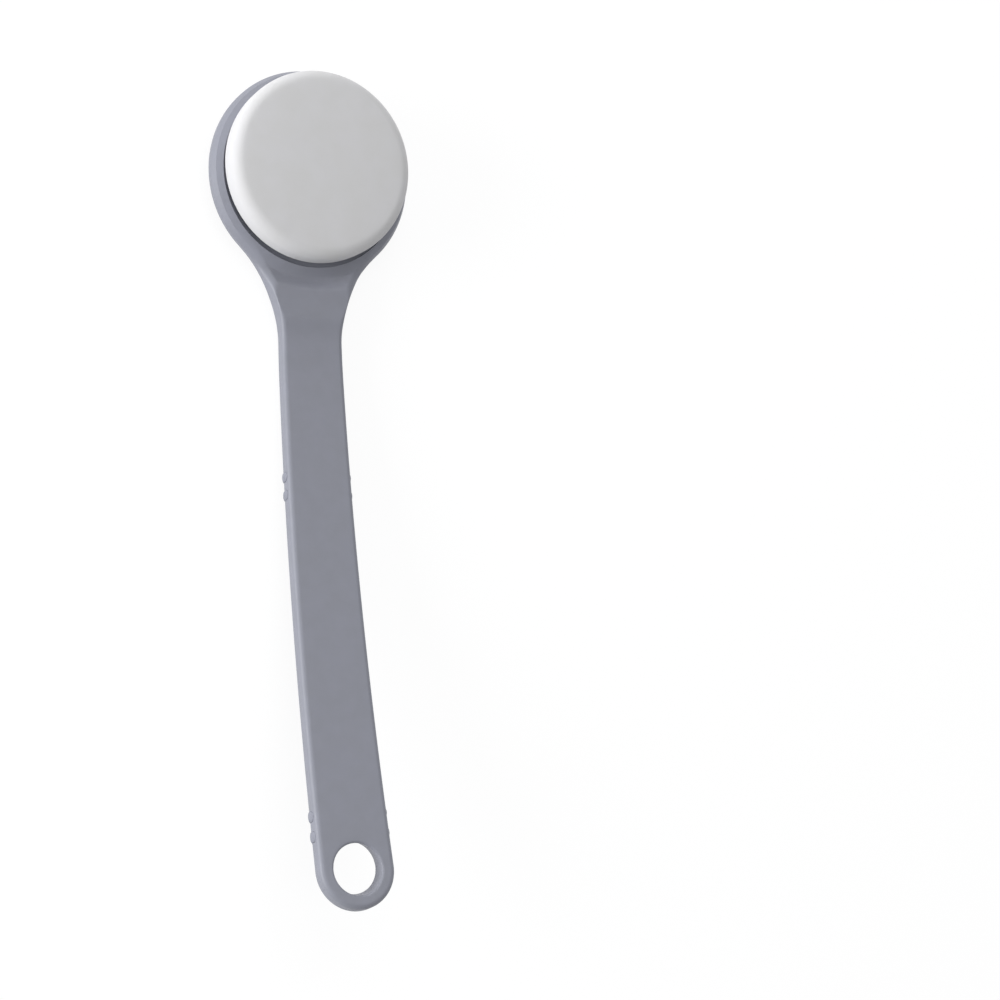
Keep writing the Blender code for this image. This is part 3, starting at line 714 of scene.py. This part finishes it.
def front_height(x, station):
    """Height of the front shell's outside above the middle surface."""
    radius = math.hypot(x, station)
    offset = abs(station - SWELL_STATION) / SWELL_REACH
    swell = SWELL_HEIGHT * (1 + math.cos(math.pi * offset)) / 2 if offset < 1 else 0.0
    valley = VALLEY_DEPTH * (1 - smooth_step((radius - SHOULDER_FOOT_RADIUS) / VALLEY_REACH))
    face = HALF_THICKNESS + swell - (valley if station < NECK_STATION else 0.0)
    shoulder = PLATEAU - SHOULDER_SLOPE * (radius - SHOULDER_TOP_RADIUS)
    top = smooth_max(face, shoulder, SHOULDER_BLEND) - edge_drop(x, station) - eye_drop(x, station)
    top = -smooth_max(-top, -PLATEAU, SEAT_BLEND)
    if MOAT_INNER_RADIUS < radius < MOAT_OUTER_RADIUS:
        top -= MOAT_DEPTH
    return max(top, LEAST_EDGE)


def back_height(x, station):
    """Height of the back shell's outside, below the middle surface."""
    drop = round_drop(depth_inside(x, station), EDGE_RADIUS)
    return drop + eye_drop(x, station) - HALF_THICKNESS


def slant_eye(vert):
    """Lean the eye's wall, which the mould draws straight down and not square to the bent handle."""
    reach = math.hypot(vert.co.x, -vert.co.y - EYE_STATION) - EYE_RADIUS - EYE_RIM_RADIUS
    share = 1 - smooth_step(reach / EYE_FIELD_WIDTH)
    vert.co.y += EYE_SLANT * share * max(HALF_THICKNESS - EYE_RIM_RADIUS - vert.co.z, 0.0)


def lift(plan_item, name, height, seam):
    """Make a slab from a copy of the plan, and lift one side of it to its heights.

    The normals are worked out anew before they are made to agree, because lifting left them stale.
    """
    start_clean()
    item = bpy.data.objects.new(name, plan_item.data.copy())
    bpy.context.scene.collection.objects.link(item)
    only(item)
    bpy.ops.object.mode_set(mode="EDIT")
    bpy.ops.mesh.select_all(action="SELECT")
    bpy.ops.mesh.extrude_region_move(TRANSFORM_OT_translate={"value": (0, 0, THICKNESS)})
    work = bmesh.from_edit_mesh(item.data)
    for vert in work.verts:
        if vert.select:
            vert.co.z = height(vert.co.x, -vert.co.y)
        else:
            vert.co.z = seam
        slant_eye(vert)
    work.normal_update()
    bmesh.update_edit_mesh(item.data)
    bpy.ops.mesh.select_all(action="SELECT")
    bpy.ops.mesh.normals_make_consistent(inside=False)
    bpy.ops.object.mode_set(mode="OBJECT")
    return item


front_shell = lift(plan, "front_shell_form", front_height, SEAM)
back_shell = lift(plan, "back_shell_form", back_height, -SEAM)
bpy.data.objects.remove(plan, do_unlink=True)

# %% [markdown]
# ## Hollow shells with their sockets and bosses
#
# A moulded shell has walls of about two millimetres. A cavity is cut out of each half, and then the
# things behind the face are joined on: the tube of the socket, the wells of the screws and the pegs'
# sleeves. Everything is still flat here, so each tool is a plain disc or the outline again.

# %% Round tools
ROUND_CORNERS = 96
BOSS_CORNERS = 48
SMALL_CORNERS = 32


def disc(radius, low, high, corners=ROUND_CORNERS, x=0.0, station=0.0):
    """A round tool between two heights, standing on the flat plan."""
    start_clean()
    bpy.ops.mesh.primitive_cylinder_add(
        vertices=corners, radius=radius, depth=high - low,
        location=(x, -station, (high + low) / 2),
    )
    bpy.ops.object.transform_apply(location=True, rotation=True, scale=True)
    return bpy.context.object


def add_disc(shell, radius, low, high, corners=ROUND_CORNERS, **place):
    """Join a round boss to a shell."""
    combine(shell, disc(radius, low, high, corners, **place), "UNION")


def cut_disc(shell, radius, low, high, corners=ROUND_CORNERS, **place):
    """Cut a round hole into a shell."""
    combine(shell, disc(radius, low, high, corners, **place), "DIFFERENCE")


# %% Cavity
EYE_WALL = 3.5 * MM
CAVITY_STOP = EYE_STATION - EYE_RADIUS - EYE_WALL
CAVITY_DETAIL = 0.5
STRIP = 4 * MM


def cavity(low, high):
    """The hollow of the handle between two heights, in strips that will bend."""
    centre = (CAVITY_STOP + WALL - END_RADIUS + END_CENTRE * math.sin(LEAN)) / (1 + math.sin(LEAN))
    item = only(draw_outline("cavity", inset=WALL, end_centre=centre, detail=CAVITY_DETAIL))
    bpy.ops.object.mode_set(mode="EDIT")
    bpy.ops.mesh.select_all(action="SELECT")
    bpy.ops.transform.translate(value=(0, 0, low))
    bpy.ops.mesh.extrude_region_move(TRANSFORM_OT_translate={"value": (0, 0, high - low)})
    bpy.ops.mesh.select_all(action="SELECT")
    bpy.ops.mesh.normals_make_consistent(inside=False)
    for step in range(int((CAVITY_STOP - HEAD_FLAT) / STRIP)):
        bpy.ops.mesh.select_all(action="SELECT")
        bpy.ops.mesh.bisect(
            plane_co=(0, -HEAD_FLAT - (step + 0.5) * STRIP, 0), plane_no=(0, 1, 0), threshold=TOUCH,
        )
    bpy.ops.object.mode_set(mode="OBJECT")
    return item


# %% Places of the fasteners
CLEARANCE = 0.3 * MM
SOCKET_RADIUS = 11.0 * MM
SOCKET_WALL = 2.0 * MM
BOSS_WALL = 1.6 * MM
FASTENER_CIRCLE = 26.0 * MM
SCREW_ANGLES = (90, 210, 330)
SCREW_WELL_RADIUS = 2.9 * MM
SCREW_WELL_DEPTH = 1.95 * MM
SCREW_SEAT_WEB = 2.4 * MM
SCREW_HOLE_RADIUS = 1.55 * MM
SCREW_LENGTH = 5.0 * MM
SCREW_SEAT = PLATEAU - SCREW_WELL_DEPTH
FRONT_BOSS_END = SCREW_SEAT - SCREW_SEAT_WEB
SCREW_TIP = SCREW_SEAT + CLEARANCE - SCREW_LENGTH
PEG_ANGLES = (0, 180)
PEG_HOLE_RADIUS = 2.3 * MM
PEG_HOLE_DEPTH = 1.7 * MM
PEG_HOLE_BOTTOM = CARRIER_BOTTOM - PEG_HOLE_DEPTH
FIRST_POST = 104.6 * MM
POST_PITCH = 45.025 * MM
POST_STATIONS = [FIRST_POST + POST_PITCH * index for index in range(5)]
POST_RADIUS = 1.4 * MM
POST_TIP_GAP = 0.8 * MM


def around(degrees):
    """Place of a fastener on the head's circle, as x and station."""
    angle = math.radians(degrees)
    return {"x": FASTENER_CIRCLE * math.cos(angle), "station": -FASTENER_CIRCLE * math.sin(angle)}


# %% Hollow the front shell
OVER = 2.0 * MM
INSIDE = PLATEAU - WALL / 2
combine(front_shell, cavity(-OVER, CAVITY_HALF), "DIFFERENCE")
cut_disc(front_shell, SHOULDER_TOP_RADIUS - WALL, -OVER, PLATEAU - WALL)
add_disc(front_shell, SOCKET_RADIUS + SOCKET_WALL, CLEARANCE - CAVITY_HALF, INSIDE)
cut_disc(front_shell, SOCKET_RADIUS, -HALF_THICKNESS, PLATEAU + OVER)
for degrees in SCREW_ANGLES:
    place = around(degrees)
    hole_end = FRONT_BOSS_END - OVER
    add_disc(front_shell, SCREW_WELL_RADIUS + BOSS_WALL, FRONT_BOSS_END, INSIDE, BOSS_CORNERS, **place)
    cut_disc(front_shell, SCREW_WELL_RADIUS, SCREW_SEAT, PLATEAU + OVER, BOSS_CORNERS, **place)
    cut_disc(front_shell, SCREW_HOLE_RADIUS, hole_end, SCREW_SEAT + OVER, SMALL_CORNERS, **place)
for degrees in PEG_ANGLES:
    place = around(degrees)
    sleeve_end = PEG_HOLE_BOTTOM - BOSS_WALL
    add_disc(front_shell, PEG_HOLE_RADIUS + BOSS_WALL, sleeve_end, INSIDE, BOSS_CORNERS, **place)
    cut_disc(front_shell, PEG_HOLE_RADIUS, PEG_HOLE_BOTTOM, PLATEAU + OVER, BOSS_CORNERS, **place)
for station in POST_STATIONS:
    root = CAVITY_HALF + WALL / 2
    add_disc(front_shell, POST_RADIUS, POST_TIP_GAP - CAVITY_HALF, root, SMALL_CORNERS, station=station)
print("front shell:", len(front_shell.data.polygons), "faces")

# %% Hollow the back shell
BACK_ROOT = -CAVITY_HALF - WALL / 2
POST_HOLE_RADIUS = POST_RADIUS + CLEARANCE
combine(back_shell, cavity(-CAVITY_HALF, OVER), "DIFFERENCE")
for degrees in SCREW_ANGLES:
    place = around(degrees)
    boss_top = FRONT_BOSS_END - CLEARANCE
    add_disc(back_shell, SCREW_HOLE_RADIUS + BOSS_WALL, BACK_ROOT, boss_top, BOSS_CORNERS, **place)
    cut_disc(back_shell, SCREW_HOLE_RADIUS, SCREW_TIP - CLEARANCE, HALF_THICKNESS, SMALL_CORNERS, **place)
for station in POST_STATIONS:
    sleeve_radius = POST_HOLE_RADIUS + BOSS_WALL
    sleeve_top = CAVITY_HALF - CLEARANCE
    add_disc(back_shell, sleeve_radius, BACK_ROOT, sleeve_top, SMALL_CORNERS, station=station)
    cut_disc(back_shell, POST_HOLE_RADIUS, -CAVITY_HALF, HALF_THICKNESS, SMALL_CORNERS, station=station)
print("back shell:", len(back_shell.data.polygons), "faces")

# %% [markdown]
# ## Grip ribs
#
# Four soft ribs cross the back in two pairs and end round on the flanks, where the photograph shows
# them as small nubs. Each is moulded into a shallow groove. A rib is a strip of a grid whose rows are
# wrapped round the handle's section and whose columns go round the rib's own small oval. The same
# strip, a little larger, cuts the groove.

# %% Sizes of the ribs and the path that they follow
RIB_PAIRS = (146.6 * MM, 296.7 * MM)
RIB_OFFSET = 4.2 * MM
RIB_STATIONS = [middle + side * RIB_OFFSET for middle in RIB_PAIRS for side in (-1, 1)]
RIB_WIDTH = 4.5 * MM
RIB_CREST = 0.7 * MM
RIB_ROOT = 0.7 * MM
RIB_TOP = 2.3 * MM
RIB_END_ROUND = 2.0 * MM
RIB_ROUND_STEPS = 24
RIB_LENGTH_STEPS = 96
GROOVE_GAP = 0.06 * MM
SPECK = 0.002 * MM


def round_section(run, half_width):
    """Point and outward direction on the handle's section, a run down from the rib's flank end."""
    flank = RIB_TOP + HALF_THICKNESS - EDGE_RADIUS
    corner = EDGE_RADIUS * math.pi / 2
    if run < flank:
        return Vector((half_width, 0, RIB_TOP - run)), Vector((1, 0, 0))
    if run < flank + corner:
        angle = (run - flank) / EDGE_RADIUS
        out = Vector((math.cos(angle), 0, -math.sin(angle)))
        centre = Vector((half_width - EDGE_RADIUS, 0, EDGE_RADIUS - HALF_THICKNESS))
        return centre + out * EDGE_RADIUS, out
    left = half_width - EDGE_RADIUS - (run - flank - corner)
    return Vector((left, 0, -HALF_THICKNESS)), Vector((0, 0, -1))


# %% Grip ribs
def draw_rib(name, station, gap=0.0):
    """Wrap a strip round the back of the handle as a rib, or with a gap as its groove."""
    half_width = half_width_at(station)
    middle = RIB_TOP + HALF_THICKNESS - 2 * EDGE_RADIUS + EDGE_RADIUS * math.pi / 2 + half_width
    start_clean()
    bpy.ops.mesh.primitive_grid_add(
        x_subdivisions=RIB_ROUND_STEPS, y_subdivisions=RIB_LENGTH_STEPS, size=1.0,
    )
    item = bpy.context.object
    item.name = item.data.name = name
    for vert in item.data.vertices:
        turn = 2 * math.pi * (vert.co.x + 0.5)
        run = middle * (1 - math.cos(math.pi * (vert.co.y + 0.5)))
        side = 1 if run <= middle else -1
        run = min(run, 2 * middle - run)
        on, out = round_section(run, half_width)
        size = math.sqrt(max(1 - max(1 - run / RIB_END_ROUND, 0.0) ** 2, 0.0))
        width = (RIB_WIDTH / 2 + gap) * size * math.cos(turn)
        height = ((RIB_CREST if math.sin(turn) > 0 else RIB_ROOT) + gap) * size * math.sin(turn)
        vert.co = on + out * height
        vert.co = Vector((vert.co.x * side, -station - width, vert.co.z))
    only(item)
    bpy.ops.object.mode_set(mode="EDIT")
    bpy.ops.mesh.select_all(action="SELECT")
    bpy.ops.mesh.remove_doubles(threshold=SPECK)
    bpy.ops.mesh.normals_make_consistent(inside=False)
    bpy.ops.object.mode_set(mode="OBJECT")
    return item


for station in RIB_STATIONS:
    for shell in (front_shell, back_shell):
        combine(shell, draw_rib("groove", station, GROOVE_GAP), "DIFFERENCE")
print("grooves at stations in mm:", [round(station / MM, 1) for station in RIB_STATIONS])

# %% [markdown]
# ## Bending the shells
#
# The flat shells are laid along the side curve, point by point. They are tidied first: a cut through
# many thin strips leaves a few points that lie on one another.


# %% Bend the shells
def lay_along(item):
    """Move every point of a flat piece onto the side curve."""
    only(item)
    bpy.ops.object.mode_set(mode="EDIT")
    bpy.ops.mesh.select_all(action="SELECT")
    bpy.ops.mesh.remove_doubles(threshold=2 * SPECK)
    bpy.ops.mesh.dissolve_degenerate(threshold=SPECK)
    work = bmesh.from_edit_mesh(item.data)
    for vert in work.verts:
        vert.co = frame_at(-vert.co.y) @ Vector((vert.co.x, 0.0, vert.co.z))
    bmesh.update_edit_mesh(item.data)
    bpy.ops.object.mode_set(mode="OBJECT")
    return item


finish_piece(lay_along(front_shell), "handle", shell_plastic, ["front_shell"])
finish_piece(lay_along(back_shell), "handle", shell_plastic, ["back_shell"])
for index, station in enumerate(RIB_STATIONS):
    rib = lay_along(draw_rib(f"rib_{index + 1}", station))
    finish_piece(rib, "handle", rib_rubber, [f"grip_rib_{index + 1}"], 60)

# %% [markdown]
# ## The pad
#
# The pad is a thick disc of foam in a tight, thin cover. The cover is drawn over the foam and hemmed
# under the carrier's rim, so its side stands nearly straight, its top edge is a large soft round and
# its face is slightly crowned. The cover starts as a closed blank that is a little too small. A cloth
# simulation blows it up, as the foam does, while its foot stays where the carrier holds it.

# %% Blank of the pad
PAD_SIDES = 96
PAD_EDGE_STEPS = 8
PAD_FOOT_STEPS = 4
PAD_TOP = CARRIER_BOTTOM + PAD_HEIGHT


def pad_blank(name, radius, bottom, top, edge_radius, foot_radius):
    """A closed disc of even faces with a large round edge and a small round foot."""
    start_clean()
    bpy.ops.mesh.primitive_cylinder_add(
        vertices=PAD_SIDES, radius=radius, depth=top - bottom, location=(0, 0, (top + bottom) / 2),
    )
    item = bpy.context.object
    item.name = item.data.name = name
    bpy.ops.object.transform_apply(location=True, rotation=True, scale=True)
    bpy.ops.object.mode_set(mode="EDIT")
    pick("edges", lambda edge: all(near(vert.co.z, top) for vert in edge.verts))
    bpy.ops.mesh.bevel(offset=edge_radius, segments=PAD_EDGE_STEPS, profile=0.5)
    pick("edges", lambda edge: all(near(vert.co.z, bottom) for vert in edge.verts))
    bpy.ops.mesh.bevel(offset=foot_radius, segments=PAD_FOOT_STEPS, profile=0.5)
    inside = bottom + edge_radius
    pick("faces", lambda face: len(face.verts) == PAD_SIDES and face.calc_center_median().z > inside)
    bpy.ops.mesh.delete(type="ONLY_FACE")
    pick("edges", lambda edge: len(edge.link_faces) == 1)
    bpy.ops.mesh.fill_grid(span=PAD_SIDES // 4)
    side = top - bottom - edge_radius - foot_radius
    pick("edges", lambda edge: near(edge.verts[0].co.z - edge.verts[1].co.z, side))
    bpy.ops.mesh.subdivide_edgering(number_cuts=1, interpolation="LINEAR")
    bpy.ops.mesh.select_all(action="SELECT")
    bpy.ops.mesh.normals_make_consistent(inside=False)
    bpy.ops.object.mode_set(mode="OBJECT")
    return item


def crown(item, start, rise, radius):
    """Raise the middle of the pad's face in a shallow dome."""
    for vert in item.data.vertices:
        if vert.co.z > start:
            share = min(math.hypot(vert.co.x, vert.co.y) / radius, 1.0)
            vert.co.z += rise * math.cos(math.pi / 2 * share)


# %% Blank of the cover
BLANK_ROOM = 0.2 * MM
BLANK_CROWN = 0.4 * MM
FACE_BAND = 1.0 * MM
FACE_RADIUS = PAD_RADIUS - PAD_EDGE_RADIUS

cover = pad_blank(
    "cover", PAD_RADIUS, CARRIER_BOTTOM, PAD_TOP - PAD_CROWN - BLANK_ROOM,
    PAD_EDGE_RADIUS, PAD_FOOT_RADIUS,
)
crown(cover, PAD_TOP - PAD_CROWN - FACE_BAND, BLANK_CROWN, FACE_RADIUS)
print("cover blank:", len(cover.data.polygons), "faces")

# %% Blow the cover up
HELD_HEIGHT = CARRIER_BOTTOM + PAD_FOOT_RADIUS * 0.7
BLOW_LIMIT = 0.5 * MM
BLOW_FRAMES = 20
COVER_CLOTH = {
    "quality": 8, "mass": 0.15, "tension_stiffness": 80.0, "compression_stiffness": 80.0,
    "shear_stiffness": 40.0, "bending_stiffness": 10.0, "use_pressure": True,
    "uniform_pressure_force": 4.0, "vertex_group_mass": "held",
}


def blow_up(item, held_below, limit):
    """Inflate a blank with a cloth simulation, and let no point move further than the limit."""
    before = [vert.co.copy() for vert in item.data.vertices]
    held = item.vertex_groups.new(name="held")
    held.add([vert.index for vert in item.data.vertices if vert.co.z < held_below], 1.0, "REPLACE")
    only(item)
    cloth = item.modifiers.new("cloth", "CLOTH")
    for name, value in COVER_CLOTH.items():
        setattr(cloth.settings, name, value)
    cloth.settings.effector_weights.gravity = 0.0
    cloth.collision_settings.use_collision = False
    scene = bpy.context.scene
    for step in range(1, BLOW_FRAMES + 1):
        scene.frame_set(step)
    bpy.ops.object.modifier_apply(modifier=cloth.name)
    scene.frame_set(1)
    moved = 0.0
    for vert, start in zip(item.data.vertices, before):
        shift = vert.co - start
        moved = max(moved, shift.length)
        if shift.length > limit:
            vert.co = start + shift * (limit / shift.length)
    item.vertex_groups.clear()
    print(item.name, "moved up to", round(moved / MM, 2), "mm, kept to", round(limit / MM, 2))


blow_up(cover, HELD_HEIGHT, BLOW_LIMIT)

# %% Hem, wall and finish of the cover
HEM_FLAT = HEM_WIDTH - PAD_FOOT_RADIUS - 0.3 * MM


def cover_wall(item):
    """Open the blank underneath, turn the hem in and give the skin its thickness."""
    only(item)
    bpy.ops.object.mode_set(mode="EDIT")
    pick("faces", lambda face: len(face.verts) == PAD_SIDES)
    bpy.ops.mesh.inset(thickness=HEM_FLAT, depth=0, use_even_offset=True)
    bpy.ops.mesh.delete(type="FACE")
    bpy.ops.object.mode_set(mode="OBJECT")
    apply_modifier(item, "SOLIDIFY", thickness=COVER_THICKNESS, offset=-1.0, use_even_offset=True)
    corners = "PRESERVE_CORNERS"
    return apply_modifier(item, "SUBSURF", levels=2, render_levels=2, boundary_smooth=corners)


def onto_head(item):
    """Move a piece that was made on the flat head to the tilted one, set off as the real pad is."""
    item.matrix_world = HEAD @ Matrix.Translation((0, PAD_OFFSET, 0))
    return item


finish_piece(onto_head(cover_wall(cover)), "pad", cover_skin, ["pad_cover"], 60)

# %% Foam core
FOAM_BOTTOM = CARRIER_BOTTOM + 3.4 * MM
FOAM_INSET = COVER_THICKNESS + CLEARANCE
FOAM_SIDE_ROOM = 0.2 * MM
FOAM_TOP_ROOM = 0.3 * MM
FOAM_FOOT_RADIUS = 0.6 * MM

foam = pad_blank(
    "foam", PAD_RADIUS - FOAM_INSET - FOAM_SIDE_ROOM, FOAM_BOTTOM,
    PAD_TOP - FOAM_INSET - PAD_CROWN - FOAM_TOP_ROOM, PAD_EDGE_RADIUS - FOAM_INSET, FOAM_FOOT_RADIUS,
)
apply_modifier(foam, "SUBSURF", levels=1, render_levels=1)
finish_piece(onto_head(foam), "pad", foam_white, ["foam_core"], 60)

# %% [markdown]
# ## Finishes of the pieces that stay
#
# The screws, carrier, plug's ring and adhesive keep their solids and get the finishes above.

# %% Finish the hidden pieces
FINISHES = {
    "head_screw_1": screw_steel, "head_screw_2": screw_steel, "head_screw_3": screw_steel,
    "pad_carrier": carrier_white, "plug_ring": ring_black, "adhesive_disc": adhesive_clear,
}
for name, material in FINISHES.items():
    for slot in bpy.data.objects[name].material_slots:
        slot.material = material
print("hidden pieces with a finish:", len(FINISHES))

# %% [markdown]
# ## Camera
#
# The photograph was taken from above the handle's left side with a lens of about 53 mm, and then the
# picture was turned and cropped. The values come from matching a simple model of the outline to it.

# %% Camera
CAMERA_AZIMUTH = math.radians(67.280)
CAMERA_ELEVATION = math.radians(67.524)
CAMERA_ROLL = math.radians(67.160)
CAMERA_DISTANCE = 673.98 * MM
TARGET = Vector((0.0, -6.925 * MM, 4.05 * MM))
PICTURE_PIXELS = 1000.0
FOCAL_PIXELS = 1482.98
SENSOR_WIDTH = 36.0

away = Vector((
    -math.sin(CAMERA_AZIMUTH) * math.cos(CAMERA_ELEVATION),
    -math.cos(CAMERA_AZIMUTH) * math.cos(CAMERA_ELEVATION),
    math.sin(CAMERA_ELEVATION),
))
level_up = (Vector((0, 0, 1)) - away * away.z).normalized()
level_right = level_up.cross(away)
right = level_right * math.cos(CAMERA_ROLL) + level_up * math.sin(CAMERA_ROLL)
up = level_up * math.cos(CAMERA_ROLL) - level_right * math.sin(CAMERA_ROLL)
turned = Matrix((right, up, away)).transposed().to_4x4()

camera_data = bpy.data.cameras.new("camera")
camera_data.sensor_width = SENSOR_WIDTH
camera_data.lens = FOCAL_PIXELS * SENSOR_WIDTH / PICTURE_PIXELS
camera_data.shift_x = 0.18562
camera_data.shift_y = -0.0095
camera_data.clip_start = 0.01
camera = bpy.data.objects.new("camera", camera_data)
camera.matrix_world = Matrix.Translation(TARGET + away * CAMERA_DISTANCE) @ turned
bpy.context.scene.collection.objects.link(camera)
bpy.context.scene.camera = camera
print("camera in mm:", [round(value / MM, 1) for value in camera.location])

# %% [markdown]
# ## Light, floor and background
#
# Three large soft lights: one low at the left, which makes the left flank bright, and two beyond the
# head, low and high, which brighten its rim and the pad. An even, pale surround does the rest. The
# floor is a plain pale sheet. Only what the camera sees, straight or in a reflection, is lifted to
# white, and the object keeps a faint shadow.

# %% Lights
LIGHT_DISTANCE = 2.20
LIGHT_WIDTH = 1.50
LIGHT_HEIGHT = 1.00
LIGHT_AIM = Vector((0.0, 0.0, 20 * MM))
SOFTBOXES = {
    "left_softbox": (0.0, 13.0, 46.0),
    "far_softbox": (90.0, 13.0, 14.0),
    "high_softbox": (90.0, 62.0, 11.0),
}


def add_softbox(name, azimuth, elevation, power):
    """A large soft light: its azimuth goes from the left towards the head, its power is in watts."""
    azimuth = math.radians(azimuth)
    elevation = math.radians(elevation)
    way = Vector((
        -math.cos(elevation) * math.cos(azimuth), math.cos(elevation) * math.sin(azimuth),
        math.sin(elevation),
    ))
    data = bpy.data.lights.new(name, "AREA")
    data.shape = "RECTANGLE"
    data.size = LIGHT_WIDTH
    data.size_y = LIGHT_HEIGHT
    data.energy = power
    softbox = bpy.data.objects.new(name, data)
    softbox.location = LIGHT_AIM + way * LIGHT_DISTANCE
    softbox.rotation_euler = way.to_track_quat("Z", "Y").to_euler()
    bpy.context.scene.collection.objects.link(softbox)


for name, values in SOFTBOXES.items():
    add_softbox(name, *values)
print("soft lights:", len(SOFTBOXES))


# %% Surround
AMBIENT = 0.43


def seen_directly(tree):
    """1 where a ray comes from the camera, a reflection or a clear surface, and 0 where it only lights."""
    rays = node(tree, "ShaderNodeLightPath")
    either = node(
        tree, "ShaderNodeMath", {"operation": "MAXIMUM"},
        links={0: rays.outputs["Is Camera Ray"], 1: rays.outputs["Is Glossy Ray"]},
    )
    any_of_them = node(
        tree, "ShaderNodeMath", {"operation": "MAXIMUM"},
        links={0: either.outputs[0], 1: rays.outputs["Is Transmission Ray"]},
    )
    return any_of_them.outputs[0]


world =bpy.data.worlds.new("surround")
bpy.context.scene.world = world
world.use_nodes = True
tree = world.node_tree
background = tree.nodes["Background"]
background.inputs["Color"].default_value = (1.0, 1.0, 1.0, 1.0)
strength = node(
    tree, "ShaderNodeMapRange", links={"Value": seen_directly(tree)}, To_Min=AMBIENT, To_Max=1.0,
)
tree.links.new(strength.outputs["Result"], background.inputs["Strength"])

# %% Floor
FLOOR_SIZE = 6.0
FLOOR_GAP = 0.02 * MM
GLOW_STRENGTH = 1.05
GLOW_SHARE = 0.85

start_clean()
bpy.ops.mesh.primitive_plane_add(size=FLOOR_SIZE, location=(0, 0, -FLOOR_GAP))
floor = bpy.context.object
floor.name = floor.data.name = "floor"
floor_sheet, tree, shader = new_material("pale_matt_floor", "F2F2F3", Roughness=0.9)
glow = node(tree, "ShaderNodeEmission", Color=(1.0, 1.0, 1.0, 1.0), Strength=GLOW_STRENGTH)
share = node(
    tree, "ShaderNodeMapRange", links={"Value": seen_directly(tree)}, To_Min=0.0, To_Max=GLOW_SHARE,
)
mixed = node(
    tree, "ShaderNodeMixShader",
    links={0: share.outputs["Result"], 1: shader.outputs[0], 2: glow.outputs[0]},
)
tree.links.new(mixed.outputs[0], tree.nodes["Material Output"].inputs["Surface"])
floor.data.materials.append(floor_sheet)

bpy.context.scene.view_settings.view_transform = "Standard"
